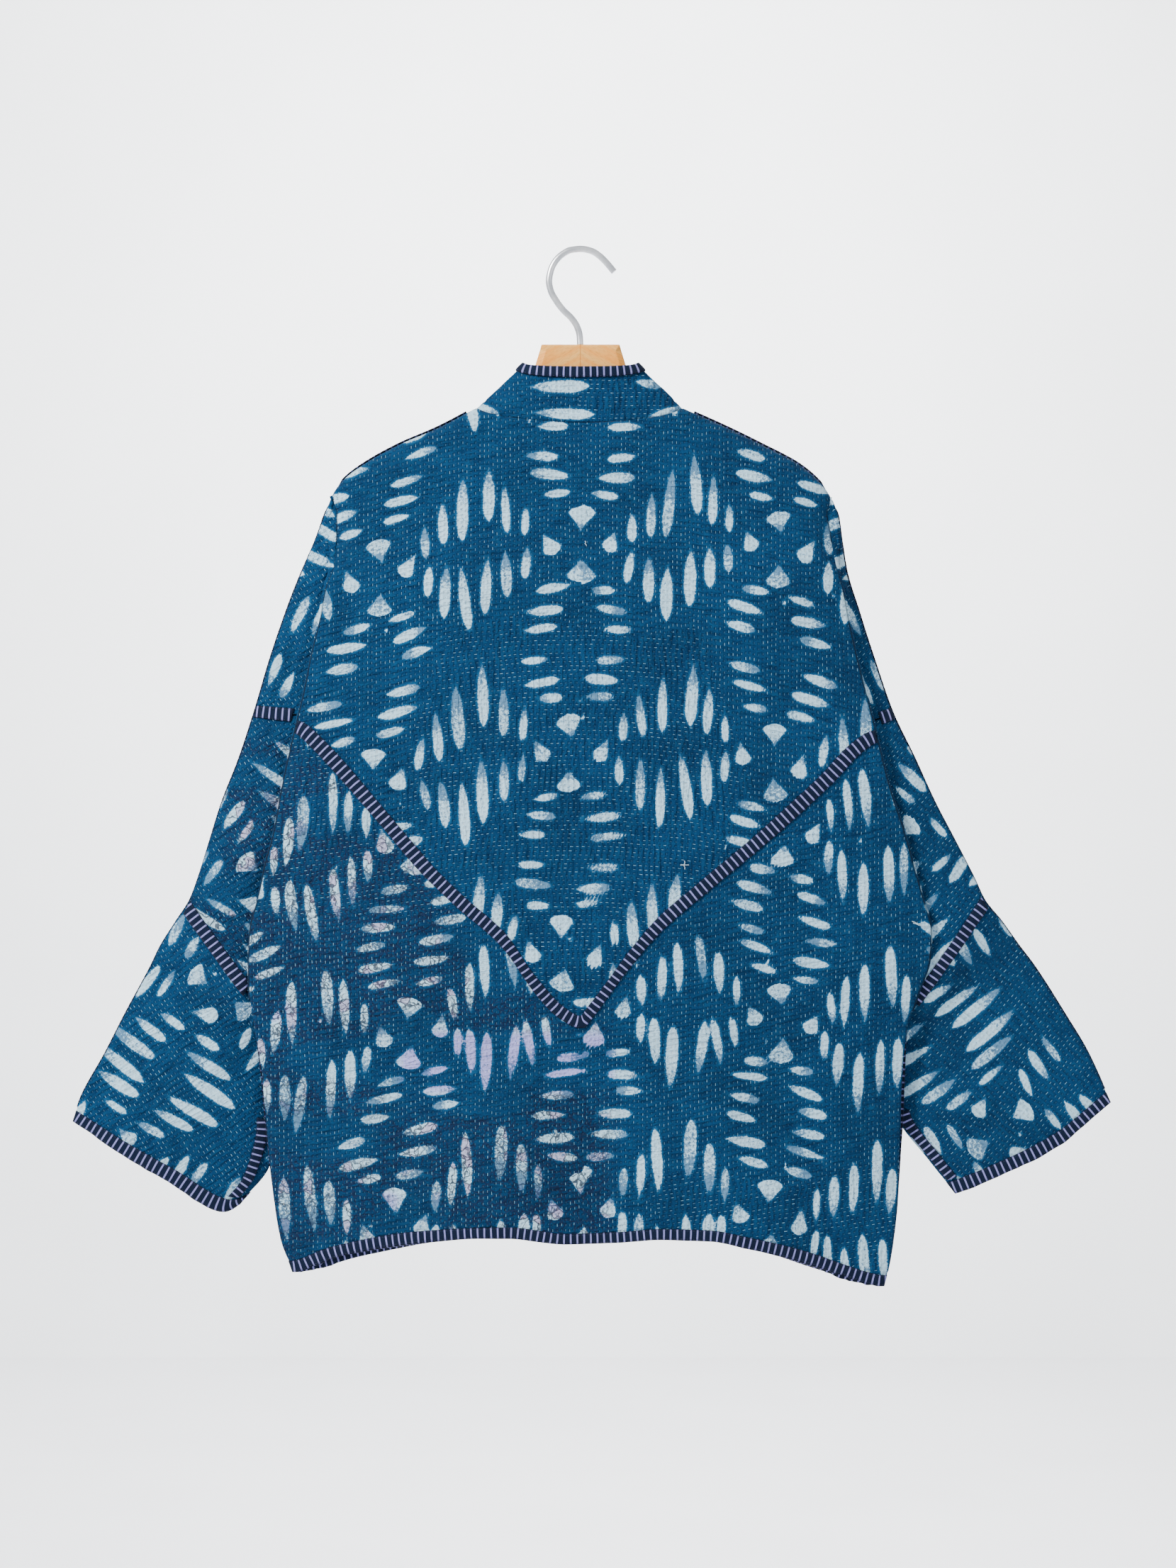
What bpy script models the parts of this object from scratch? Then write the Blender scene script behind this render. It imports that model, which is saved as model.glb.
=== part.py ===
"""A kantha jacket hanging on a wood hanger. Metres, +Z up. The back of the jacket faces -Y.

The origin is where the hook hangs. Heights in the tables are drops below it, in millimetres. The cloth
surfaces are worked out as the inside of each wall, and a Solidify modifier grows the wall outwards.
"""

import math

import bmesh
import bpy
import numpy as np

MM = 0.001
WALL = 2.0
TAPE = 1.0
GAP = 0.35
SEAM = 0.65  # each panel stops this far from its seam line
LIFT = WALL + GAP + 0.15  # how far a tape's inner side lies above a panel's inner side
TAPE_HALF = 5.0
HEM_TAPE = 7.5
SIDE_SETTLE = 0.75  # the side tapes lie this much closer than the shoulder's
RELIEF_LOW = 0.72  # the wall's thickness in the quilting's valleys, as a share of WALL
MERGE = 2e-5
NOSE = 2.0  # the outline in the tables is the outer side of the wall
LEFT, RIGHT = -1, 1

FAN_SHARE = 0.27  # down the yoke's outer column: where the armhole fold begins
FAN_BLEND = 14.0  # the body's edge leaves the shoulder line over this drop
APEX_SHARE = 0.5  # down the lower back's outer column: where the underarm lies
CLOSING_RUN = 55.0  # below the underarm the side seam closes over this drop
UNDERARM_NOTCH = 2.5  # the sleeve end starts this far out from the underarm point
SEAM_RISE = 9.0  # the yoke seam climbs this much inside the armhole fold
SLEEVE_SEAM = {LEFT: 389, RIGHT: 391}  # drop of the upper sleeve seam at the top line
END_SEAM = {LEFT: 553, RIGHT: 549}  # drop of the lower sleeve seam at the top line

BODY_COLUMNS = 9
SLEEVE_COLUMNS = 5
FRONT_COLUMNS = 7
FRONT_SHOULDER_ROWS = 6
FRONT_ARM_ROWS = 12
YOKE_ROWS = 15
LOWER_ROWS = 16
END_ROWS = 8

TOP_LINE = """
drop left right
134   90.0  88.0
151  122.4 126.0
165  155.0 154.5
181  184.0 185.0
193  200.0 200.0
205  209.5 210.0
221  216.0 217.5
243  224.7 220.9
270  236.5 225.0
302  249.3 235.2
342  263.2 248.3
390  277.5 265.0
428  290.0 283.6
467  305.4 302.0
500  316.0 319.5
530  325.5 335.0
550  333.2 344.6
568  345.0 359.5
590  359.4 375.8
606  367.0 387.8
647  388.6 413.6
679  404.6 432.5
720  426.3 450.6
736  431.0 457.0
"""

BODY_EDGE = """
drop left right
205  209.5 210.0
221  206.6 209.0
235  206.8 211.2
265  208.2 216.0
285  214.8 221.0
313  220.2 226.5
340  226.8 232.4
372  233.3 240.6
400  240.2 247.8
456  252.6 261.8
492  259.2 273.8
518  266.4 281.0
546  272.4 289.0
575  279.6 296.4
600  280.8 295.0
626  280.6 286.2
656  277.0 277.8
694  271.2 273.8
745  266.7 272.0
805  259.8 269.2
836  254.4 265.8
861  245.0 261.5
873  241.0 258.0
"""

BODY_DEPTH = """
drop back front flat nose
134  10.0  9.5  6.0 0.5
205  14.0 12.0  6.0 0.5
300  11.0 12.0  3.4 0.8
400  12.0 13.0  2.6 1.0
640  20.0 18.0  2.6 1.0
873  26.0 21.0  2.6 1.0
"""

ARM = """
share mid bulge close edge tuck fold
0.00  0.0  0.0  0.00  0.3  0.0  0.0
0.08  1.0  2.0  0.00  3.6  8.0  0.0
0.14  2.2  4.4  0.00  8.4 12.0  0.2
0.20  3.0  6.0  0.00 12.0 14.0  0.5
0.32  3.5  6.5  0.00 12.0 15.0  1.0
0.45  4.0  7.0  0.00 12.0 16.0  1.0
0.69  4.0  7.0  0.45 11.0 14.0  1.0
0.93  4.0  7.0  0.90  7.5  8.0  1.0
1.00  4.0  7.0  1.00  4.5  4.0  1.0
"""

YOKE_SEAM = """
x drop
-245 401
-213 426
-170 473
-127 523
-100 549
-65  580
-37  619
-16  641
0    649
9    640
21   624
41   597
67   567
102  537
155  493
208  445
229  425
257  408
"""

HEM = """
x drop
-246 861
-208 848
-168 839
-128 833
-88  830
-59  829
-11  835
28   834
68   831
108  832
138  838
167  845
197  854
227  864
258  873
"""

FRONT_EDGE = """
drop x
134  88
150  82
180  71
220  60
270  53
340  50
873  50
"""

UNDERARM = """
share left_x left_drop right_x right_drop
0.10  282    648       282     656
0.25  273    674       273     680
0.45  262    706       265     708
0.65  256    738       271     735
0.85  266    776       297     770
1.00  291    805       319     797
"""

CUFF = """
share left_x left_drop right_x right_drop
0.00  291    805       319     797
0.10  304    812       331     792
0.40  350    786       371     774
0.70  391    762       408     754
1.00  431    736       450     720
"""

BACK_FOLDS = """
x0 z0 x1 z1 width depth
-190 610 -150 700 16 -3.0
-225 650 -165 745 14 2.5
-120 640 -60 690 18 -2.0
-205 300 -150 420 22 -2.5
200 300 175 400 24 -2.5
60 200 -60 205 20 -1.5
235 580 150 640 20 -2.5
110 700 130 830 26 3.0
-60 720 -70 830 26 3.0
20 700 25 835 30 -3.5
-150 760 -165 838 24 -3.0
190 760 205 855 24 -3.0
"""

FRONT_FOLDS = """
x0 z0 x1 z1 width depth
150 260 120 420 24 -3.0
190 420 120 560 24 3.0
200 650 190 860 26 -3.5
120 620 110 860 26 3.5
"""

BAND = """
seam_drop free_x free_y free_drop
134  47.5  0.0  94.5
150  44.0  7.5 108.0
180  34.0 12.0 140.0
220  22.0 15.5 190.0
270  12.0 19.0 252.0
340   7.0 23.0 334.0
400   6.5 25.0 400.0
"""

HANGER = """
x drop
33   78.6
38   95
41  106
51  124
68  139
90  151
120 165
150 179
176 193
190 203
194 210
190 216
181 217
166 210
144 199
110 183
70  168
35  159
0   156
"""

HOOK = """
x z
-0.3 -78.2
-0.8 -70.2
-3.2 -62.4
-8.2 -55.2
-14.4 -49.2
-20.5 -41.2
-25.2 -32.4
-26.7 -24.5
-25.2 -15.6
-21.4 -7.8
-15.2 -1.6
-8.2 1.9
0.6 2.8
9.4 1.0
16.4 -3.4
22.6 -9.6
28.4 -16.6
"""
HOOK_RADIUS = 2.8
HOOK_POINTS = 34
HANGER_HALF = 5.5
HANGER_ROUND = 1.5


def table(text):
    """The rows of a table as arrays, one for each named column."""
    lines = text.split("\n")[1:-1]
    names = lines[0].split()
    rows = np.array([[float(word) for word in line.split()] for line in lines[1:]])
    return dict(zip(names, rows.T))


def smooth(knots, values, at):
    """A cubic curve through the knots that never overshoots them."""
    step = np.diff(knots)
    rise = np.diff(values) / step
    product = rise[:-1] * rise[1:]
    total = np.where(product > 0, rise[:-1] + rise[1:], 1.0)
    slope = np.concatenate([rise[:1], np.where(product > 0, 2 * product / total, 0.0), rise[-1:]])
    i = int(np.clip(np.searchsorted(knots, at) - 1, 0, len(step) - 1))
    u = (at - knots[i]) / step[i]
    start = values[i] * (1 + 2 * u) * (1 - u) ** 2 + slope[i] * step[i] * u * (1 - u) ** 2
    return start + values[i + 1] * u * u * (3 - 2 * u) - slope[i + 1] * step[i] * u * u * (1 - u)


def lerp(a, b, share):
    return a + (b - a) * share


def ease(share):
    share = min(max(share, 0.0), 1.0)
    return share * share * (3 - 2 * share)


TOPS = table(TOP_LINE)
EDGES = table(BODY_EDGE)
DEPTHS = table(BODY_DEPTH)
ARMS = table(ARM)
SEAMS = table(YOKE_SEAM)
HEMS = table(HEM)
FRONT_EDGES = table(FRONT_EDGE)
UNDERARMS = table(UNDERARM)
CUFFS = table(CUFF)
FOLD_TABLES = {"back": table(BACK_FOLDS), "front": table(FRONT_FOLDS)}
NAMES = {LEFT: "left", RIGHT: "right"}


def folds(x, drop, side):
    """How far the drape's folds push the cloth out at a place, in millimetres."""
    t = FOLD_TABLES[side]
    x0, z0, dx, dz = t["x0"], t["z0"], t["x1"] - t["x0"], t["z1"] - t["z0"]
    along = ((x - x0) * dx + (drop - z0) * dz) / (dx * dx + dz * dz)
    near = np.clip(along, 0, 1)
    away = np.hypot(x - x0 - near * dx, drop - z0 - near * dz)
    return float((t["depth"] * np.exp(-((away / t["width"]) ** 2))).sum())


def seam_drop(x):
    return smooth(SEAMS["x"], SEAMS["drop"], x)


def hem_drop(x):
    return smooth(HEMS["x"], HEMS["drop"], x)


def top_x(side, drop):
    return smooth(TOPS["drop"], TOPS[NAMES[side]], drop) - NOSE


SEAM_EDGE = {LEFT: 402.0, RIGHT: 410.0}
HEM_EDGE = {LEFT: 861.0, RIGHT: 873.0}
NECK_DROP = 134.0
MID_BACK = 500.0
NEAR_HEM = 850.0
NECK_RISE = 11.2
FRONT_BELOW_ROWS = 8
FAN = {s: lerp(NECK_DROP, SEAM_EDGE[s], FAN_SHARE) for s in (LEFT, RIGHT)}
APEX = {s: lerp(SEAM_EDGE[s], HEM_EDGE[s], APEX_SHARE) for s in (LEFT, RIGHT)}


def edge_x(side, drop):
    """Half the body's width at a drop: the shoulder line, then the fold, then the side seam."""
    if drop <= FAN[side]:
        return top_x(side, drop)
    below = smooth(EDGES["drop"], EDGES[NAMES[side]], drop) - NOSE
    return lerp(top_x(side, FAN[side]), below, ease((drop - FAN[side]) / FAN_BLEND))


def arm(side, drop):
    """The armhole fold and sleeve at a drop of the body's outer column."""
    share = min(max((drop - FAN[side]) / (APEX[side] - FAN[side]), 0.0), 1.0)
    return {name: smooth(ARMS["share"], ARMS[name], share) for name in ARMS}


def closing(side, drop):
    """0 at the underarm and 1 where the side seam has closed to its own plane."""
    return ease((drop - APEX[side]) / CLOSING_RUN)


def body_back(q, drop):
    side = LEFT if q < 0 else RIGHT
    share = abs(q)
    x = side * share * edge_x(side, drop)
    shape = {name: smooth(DEPTHS["drop"], DEPTHS[name], drop) for name in DEPTHS}
    edge = lerp(arm(side, drop)["edge"], 0.3, closing(side, drop))
    swell = max(1 - share ** shape["flat"], 0.0) ** shape["nose"]
    fade = 1 - share**6
    y = -edge - shape["back"] * swell - fade * folds(x, drop, "back")
    return np.array([x, y, -drop])


def top_drop(side, drop):
    """The drop on the top line that a sleeve row reaches, from its drop at the body."""
    return float(
        np.interp(
            drop,
            [FAN[side], SEAM_EDGE[side], APEX[side]],
            [FAN[side], SLEEVE_SEAM[side], END_SEAM[side]],
        )
    )


def inner_drop(side, drop):
    """Rows climb a little inside the armhole fold, most at the yoke seam."""
    knots = [FAN[side], SEAM_EDGE[side], APEX[side]]
    return drop - float(np.interp(drop, knots, [0, SEAM_RISE, 0]))


OPEN_STEPS = np.array([0, 0.4, 0.55, 0.7, 0.85, 1.0])


def tuck(side, drop):
    """The armhole fold's points at a row: round the body's edge, in behind it, and out to the sleeve."""
    a = arm(side, drop)
    e = edge_x(side, drop)
    level = a["mid"] - 0.3 - a["bulge"] * (1 - a["close"])
    room = top_x(side, top_drop(side, drop)) - e
    open_x = OPEN_STEPS * min(9.0, 0.8 * room)
    open_y = np.linspace(-a["edge"], level, 6)
    t = a["tuck"]
    half = min(3.0, t / 2)
    strip = -a["edge"] + 3
    shut_x = np.array([0, 0.8, -half, half - t, -t, 2 - t])
    shut_y = np.array([-a["edge"], 1.6 - a["edge"], strip, strip, (strip + level) / 2, level])
    x = e + lerp(open_x, shut_x, a["fold"])
    y = lerp(open_y, shut_y, a["fold"])
    z = -np.linspace(drop, inner_drop(side, drop), 6)
    return [np.array([side * x[i], y[i], z[i]]) for i in range(6)]


def lens(share, close):
    return (1 - share**3) * (1 - close * (1 - share) ** 5)


def sleeve_row(side, drop, share, layer):
    """A point between the armhole fold (share 0) and the top line (share 1). layer is -1 back, 1 front."""
    a = arm(side, drop)
    start = tuck(side, drop)[5]
    down = top_drop(side, drop)
    x = lerp(start[0], side * top_x(side, down), share)
    z = lerp(start[2], -down, share)
    y = a["mid"] + layer * (0.3 + a["bulge"] * lens(share, a["close"]))
    return np.array([x, y, z])


def back(c, drop):
    """The back's inner surface. c is 0 at the centre, 1 at the body's edge, 2 in the fold, 3 at the top line."""
    side = LEFT if c < 0 else RIGHT
    c = abs(c)
    if c <= 1:
        return body_back(side * c, drop)
    if c <= 2:
        points = tuck(side, drop)
        i = min(int((c - 1) * 5), 4)
        return lerp(points[i], points[i + 1], (c - 1) * 5 - i)
    return sleeve_row(side, drop, c - 2, -1)


def front(side, c, drop):
    """A front's inner surface. c is 0 at the band seam, 1 at the sleeve or side seam, and 3 at the top line."""
    if c > 1:
        return sleeve_row(side, drop, (c - 1) / 2, 1)
    a = arm(side, drop)
    if drop <= FAN[side]:
        outer, z = edge_x(side, drop), -drop
    elif drop <= APEX[side]:
        outer, z = abs(tuck(side, drop)[5][0]), -inner_drop(side, drop)
    else:
        fold = 2 - a["tuck"]
        outer, z = edge_x(side, drop) + fold * (1 - closing(side, drop)), -drop
    inner = min(smooth(FRONT_EDGES["drop"], FRONT_EDGES["x"], drop) + 0.3, outer)
    x = lerp(inner, outer, c)
    shape = {name: smooth(DEPTHS["drop"], DEPTHS[name], drop) for name in DEPTHS}
    level = lerp(a["mid"] + 0.3 + a["bulge"] * (1 - a["close"]), 0.3, closing(side, drop))
    share = x / outer
    swell = max(1 - share ** shape["flat"], 0.0) ** shape["nose"]
    y = level + shape["front"] * swell + (1 - c**6) * folds(x, drop, "front")
    return np.array([side * x, y, z])


def along(rows, side, name, share):
    x = smooth(rows["share"], rows[name + "_x"], share)
    return np.array([side * x, -smooth(rows["share"], rows[name + "_drop"], share)])


def sleeve_end(side, layer, r, share):
    """A sleeve end's inner surface. r is 0 at its seam and 1 at the cuff; share is 0 under the arm."""
    name = NAMES[side]
    apex = sleeve_row(side, APEX[side], 0, layer)[[0, 2]] + np.array([side * UNDERARM_NOTCH, 0.0])
    corner = along(CUFFS, side, name, 0)
    first = UNDERARMS["share"][0]
    if r < first:
        under = lerp(apex, along(UNDERARMS, side, name, first), r / first)
    else:
        under = along(UNDERARMS, side, name, r)
    last = -along(CUFFS, side, name, 1)[1]
    top_end = np.array([side * top_x(side, END_SEAM[side]), -END_SEAM[side]])
    down = lerp(END_SEAM[side], last, r)
    top = np.array([side * top_x(side, down), -down])
    cuff = along(CUFFS, side, name, share)
    cuff_end = np.array([side * top_x(side, last), -last])
    plain = lerp(lerp(apex, corner, r), lerp(top_end, cuff_end, r), share)
    place = lerp(under, top, share) + lerp(lerp(apex, top_end, share), cuff, r) - plain
    mid = 4 + 12 * ease(r / 0.25)
    y = mid + layer * (0.3 + lerp(7, 9, r) * lens(share, 1))
    return np.array([place[0], y, place[1]])


def spread(count):
    """Shares from 0 to 1 that crowd a little towards 1."""
    even = np.linspace(0, 1, count + 1)
    return 0.75 * even + 0.25 * np.sin(even * math.pi / 2)


BODY_Q = np.concatenate([-spread(BODY_COLUMNS)[::-1], spread(BODY_COLUMNS)[1:]])
ARM_C = np.concatenate([1 + np.arange(6) / 5, 2 + spread(SLEEVE_COLUMNS)[1:]])


def material(name, colour, roughness, metallic=0.0):
    made = bpy.data.materials.new(name)
    made.use_nodes = True
    shader = made.node_tree.nodes["Principled BSDF"]
    shader.inputs["Base Color"].default_value = (*colour, 1)
    shader.inputs["Roughness"].default_value = roughness
    shader.inputs["Metallic"].default_value = metallic
    return made


def clear_scene():
    for item in list(bpy.data.objects):
        bpy.data.objects.remove(item)


def collection(name):
    made = bpy.data.collections.new(name)
    bpy.context.scene.collection.children.link(made)
    return made


def fill(shell, grid, flip):
    """Adds a grid of points to a bmesh as quads. Faces look along the grid's own normal, or away from it."""
    rows = [[shell.verts.new(point * MM) for point in row] for row in grid]
    for upper, lower in zip(rows, rows[1:]):
        for a, b, c, d in zip(upper, upper[1:], lower[1:], lower):
            shell.faces.new((a, b, c, d) if flip else (a, d, c, b))
    return rows


def cloth(name, grids, look, home, thickness=WALL, ridged=False):
    """A cloth wall over one or more grids that share their edges. Each grid is (points, flip)."""
    shell = bmesh.new()
    weights = shell.verts.layers.deform.verify()
    for grid, flip in grids:
        for number, row in enumerate(fill(shell, grid, flip)):
            for v in row:
                v[weights][0] = 1.0 if number % 2 else RELIEF_LOW
    bmesh.ops.remove_doubles(shell, verts=shell.verts, dist=MERGE)
    mesh = bpy.data.meshes.new(name)
    shell.to_mesh(mesh)
    shell.free()
    mesh.shade_smooth()
    obj = bpy.data.objects.new(name, mesh)
    obj.vertex_groups.new(name="quilted relief")
    obj.data.materials.append(look)
    home.objects.link(obj)
    wall = obj.modifiers.new("wall", "SOLIDIFY")
    wall.thickness = thickness * MM
    wall.offset = 1
    if ridged:
        wall.vertex_group = "quilted relief"
    return obj


def yoke_and_lower(looks, home):
    yoke = []
    for side in (LEFT, RIGHT):
        columns = ARM_C if side == RIGHT else -ARM_C[::-1]
        fan_row = round(FAN_SHARE * YOKE_ROWS)
        drops = [lerp(NECK_DROP, SEAM_EDGE[side] - SEAM, v) for v in yoke_shares()][fan_row:]
        yoke.append(([[back(c, d) for c in columns] for d in drops], False))
    body = []
    for v in yoke_shares():
        body.append([back(q, lerp(neck_drop(q), yoke_end(q) - SEAM, v)) for q in BODY_Q])
    yoke.append((body, False))
    cloth("back_yoke", yoke, looks["cloth"], home, ridged=True)

    lower = []
    apex_row = round(APEX_SHARE * LOWER_ROWS)
    for side in (LEFT, RIGHT):
        columns = ARM_C if side == RIGHT else -ARM_C[::-1]
        ends = SEAM_EDGE[side] + SEAM, HEM_EDGE[side]
        drops = [lerp(*ends, v) for v in np.linspace(0, 1, LOWER_ROWS + 1)][: apex_row + 1]
        lower.append(([[back(c, d) for c in columns] for d in drops], False))
    body = []
    for v in np.linspace(0, 1, LOWER_ROWS + 1):
        body.append([back(q, lerp(yoke_end(q) + SEAM, hem_end(q), v)) for q in BODY_Q])
    lower.append((body, False))
    cloth("back_lower", lower, looks["cloth"], home, ridged=True)


def yoke_shares():
    """Row shares down the yoke, one of them exactly where the armhole fold begins."""
    first = round(FAN_SHARE * YOKE_ROWS)
    return np.concatenate(
        [np.linspace(0, FAN_SHARE, first + 1), np.linspace(FAN_SHARE, 1, YOKE_ROWS - first + 1)[1:]]
    )


def neck_drop(q):
    return NECK_DROP + NECK_RISE * (1 - q * q)


def yoke_end(q):
    """The yoke seam's drop in a body column."""
    side = LEFT if q < 0 else RIGHT
    drop = MID_BACK
    for _ in range(30):
        drop = lerp(drop, seam_drop(side * abs(q) * edge_x(side, drop)), 0.5)
    return lerp(drop, SEAM_EDGE[side], abs(q) ** 20)


def hem_end(q):
    side = LEFT if q < 0 else RIGHT
    return lerp(hem_drop(side * abs(q) * edge_x(side, NEAR_HEM)), HEM_EDGE[side], abs(q) ** 20)


def shoulder_drops(side):
    """The front's rows from the neck corner to where the armhole fold begins."""
    return np.linspace(NECK_DROP + 1.0, FAN[side], FRONT_SHOULDER_ROWS + 1)


def fronts(looks, home):
    for side in (LEFT, RIGHT):
        above = shoulder_drops(side)
        middle = np.linspace(FAN[side], APEX[side], FRONT_ARM_ROWS + 1)[1:]
        below = np.linspace(0, 1, FRONT_BELOW_ROWS + 1)[1:]
        columns = spread(FRONT_COLUMNS)
        body = [[front(side, c, d) for c in columns] for d in np.concatenate([above, middle])]
        for share in below:
            body.append([front(side, c, lerp(APEX[side], front_hem(side, c), share)) for c in columns])
        sleeve_c = 1 + 2 * spread(SLEEVE_COLUMNS)
        sleeve = [[front(side, c, d) for c in sleeve_c] for d in np.concatenate([[FAN[side]], middle])]
        flip = side == RIGHT
        name = "front_" + NAMES[side]
        cloth(name, [(body, flip), (sleeve, flip)], looks["cloth"], home, ridged=True)


def front_hem(side, c):
    """The front hem hangs a little lower than the back's away from the side seam."""
    x = lerp(50, edge_x(side, HEM_EDGE[side]), c)
    sag = {LEFT: 8.0, RIGHT: 5.5}[side]
    return lerp(hem_drop(side * x), HEM_EDGE[side], c**8) + sag * math.sin(math.pi * c) ** 0.7


def sleeve_ends(looks, home):
    for side in (LEFT, RIGHT):
        for layer, word in ((-1, "back"), (1, "front")):
            shares = np.concatenate([[0, 0.06], np.linspace(0.16, 1, 7)])
            first = 2.8 * SEAM / 180
            rows = np.linspace(first, 1, END_ROWS + 1)
            grid = [[sleeve_end(side, layer, r, s) for s in shares] for r in rows]
            flip = (side == LEFT) == (layer == -1)
            name = f"sleeve_end_{word}_{NAMES[side]}"
            cloth(name, [(grid, flip)], looks["cloth"], home, ridged=True)


def outward(surface, u, v, way, du, dv):
    """The surface's unit normal on the side of the world direction way."""
    across = surface(u + du, v) - surface(u - du, v)
    down = surface(u, v + dv) - surface(u, v - dv)
    normal = np.cross(across, down)
    normal = normal / np.linalg.norm(normal)
    return normal if np.dot(normal, way) > 0 else -normal


def strip(name, rows, way, look, home):
    """A tape through rows of points on its inner side. way is a world direction that its outside faces."""
    first, second = rows[0], rows[1]
    middle = len(first) // 2
    across = first[middle] - first[middle - 1]
    down = second[middle] - first[middle]
    flip = np.dot(np.cross(down, across), way) < 0
    return cloth(name, [(rows, flip)], look, home, thickness=TAPE)


BACKWARD = np.array([0.0, -1.0, 0.0])
FORWARD = np.array([0.0, 1.0, 0.0])


def facing(layer):
    return BACKWARD if layer < 0 else FORWARD


def yoke_tape(looks, home):
    rows = [[], [], []]
    for q in BODY_Q:
        step = 0.004 * (1 if q < 0.9 else -1)
        slope = (yoke_end(q + step) - yoke_end(q)) / (back(q + step, MID_BACK) - back(q, MID_BACK))[0]
        half = TAPE_HALF * math.sqrt(1 + min(slope * slope, 1.3))
        for row, away in zip(rows, (-half, 0, half)):
            drop = yoke_end(q) + away
            inside = min(max(q, -0.985), 0.985)
            normal = outward(back, inside, drop, BACKWARD, 0.01, 2.0)
            row.append(back(q, drop) + normal * LIFT)
    strip("yoke_tape", rows, BACKWARD, looks["tape"], home)


def clear_of_body(side, drop, room):
    """The share along a sleeve row where it comes out from behind the body's edge."""
    start = abs(tuck(side, drop)[5][0])
    end = top_x(side, top_drop(side, drop))
    return (edge_x(side, drop) + NOSE + room - start) / (end - start)


def sleeve_tapes(looks, home):
    for side in (LEFT, RIGHT):
        for layer, word in ((-1, "back"), (1, "front")):
            way = facing(layer)
            end = f"{word}_{NAMES[side]}"

            def sleeve(share, drop, side=side, layer=layer):
                return sleeve_row(side, drop, share, layer)

            def below(share, r, side=side, layer=layer):
                return sleeve_end(side, layer, r, share)

            seam = SEAM_EDGE[side]
            width = np.linalg.norm(sleeve(1, seam) - sleeve(0, seam))
            last = 0.985 if layer < 0 else 1 - 11 / width
            shares = np.linspace(clear_of_body(side, seam, 2.5), last, 5)
            rows = []
            for away in (-5.5, 0, 6.5):
                normals = [outward(sleeve, min(s, 0.96), seam + away, way, 0.02, 2.0) for s in shares]
                rows.append([sleeve(s, seam + away) + n * LIFT for s, n in zip(shares, normals)])
            strip("upper_sleeve_tape_" + end, rows, way, looks["tape"], home)

            apex = APEX[side]
            width = np.linalg.norm(sleeve(1, apex) - sleeve(0, apex))
            last = 0.985 if layer < 0 else 1 - 11 / width
            shares = np.linspace(clear_of_body(side, apex, 10.0), last, 9)
            rows = [[], [], []]
            for s in shares:
                s_in = min(max(s, 0.04), 0.96)
                above = outward(sleeve, s_in, apex - 5, way, 0.02, 2.0)
                under = outward(below, s_in, 0.03, way, 0.02, 0.01)
                rows[0].append(sleeve(s, apex - 6.5) + above * LIFT)
                rows[1].append(sleeve(s, apex) + (above + under) / 2 * (LIFT + 0.1))
                rows[2].append(below(s, 0.03) + under * LIFT)
            strip("lower_sleeve_tape_" + end, rows, way, looks["tape"], home)


def edge_strip(name, edge, inner, beyond, home, look, raised=0, settle=0.0):
    """A tape along an edge of the front layer: inner side, edge, and a lip that shows past it. The first
    raised rows lie higher, over the shoulder's round, and settle lays the whole tape closer."""
    rows = [[], [], []]
    for number, (place, inside) in enumerate(zip(edge, inner)):
        lift = LIFT - settle + (1.2 if number < raised else 0)
        out = place - inside
        out = out / np.linalg.norm(out)
        normal = FORWARD - out * np.dot(FORWARD, out)
        normal = normal / np.linalg.norm(normal)
        rows[0].append(inside + normal * (lift + 0.9))
        rows[1].append(place + normal * (lift + 0.7))
        rows[2].append(place + normal * (lift + 0.5) + out * beyond)
    strip(name, rows, FORWARD, look, home)


def front_at(side, x, drop):
    """The front's inner surface at a distance x from the centre plane."""
    inner = abs(front(side, 0, drop)[0])
    outer = abs(front(side, 1, drop)[0])
    return front(side, (x - inner) / (outer - inner), drop)


def top_tapes(looks, home):
    for side in (LEFT, RIGHT):
        edge, inner = [], []
        for drop in shoulder_drops(side)[1:-1]:
            run = top_x(side, drop + 2) - top_x(side, drop - 2)
            length = math.hypot(run, 4)
            edge.append(front(side, 1, drop))
            inner.append(front_at(side, top_x(side, drop) - 9 * 4 / length, drop + 9 * run / length))
        for drop in np.linspace(FAN[side] + 14, APEX[side], 14):
            row = [sleeve_row(side, drop, s, 1) for s in (0, 1)]
            width = np.linalg.norm(row[1] - row[0])
            edge.append(row[1])
            inner.append(sleeve_row(side, drop, 1 - min(8.5, 0.6 * width) / width, 1))
        for r in (0.03, *np.arange(1, END_ROWS) / END_ROWS, 0.945):
            row = [sleeve_end(side, 1, r, s) for s in (0, 1)]
            width = np.linalg.norm(row[1] - row[0])
            edge.append(row[1])
            inner.append(sleeve_end(side, 1, r, 1 - 8.5 / width))
        edge_strip("top_tape_" + NAMES[side], edge, inner, 1.3, home, looks["tape"], FRONT_SHOULDER_ROWS)


def side_tapes(looks, home):
    for side in (LEFT, RIGHT):
        drops = np.linspace(APEX[side] + 30, HEM_EDGE[side] - 10, 12)
        edge = [front(side, 1, d) for d in drops]
        inner = [front_at(side, edge_x(side, d) - 8.5, d) for d in drops]
        edge_strip("side_tape_" + NAMES[side], edge, inner, 1.3, home, looks["tape"], settle=SIDE_SETTLE)


UNDERARM_TAPE = {LEFT: 17.0, RIGHT: 7.0}  # how far in from the sleeve's lower fold the tape runs


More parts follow.
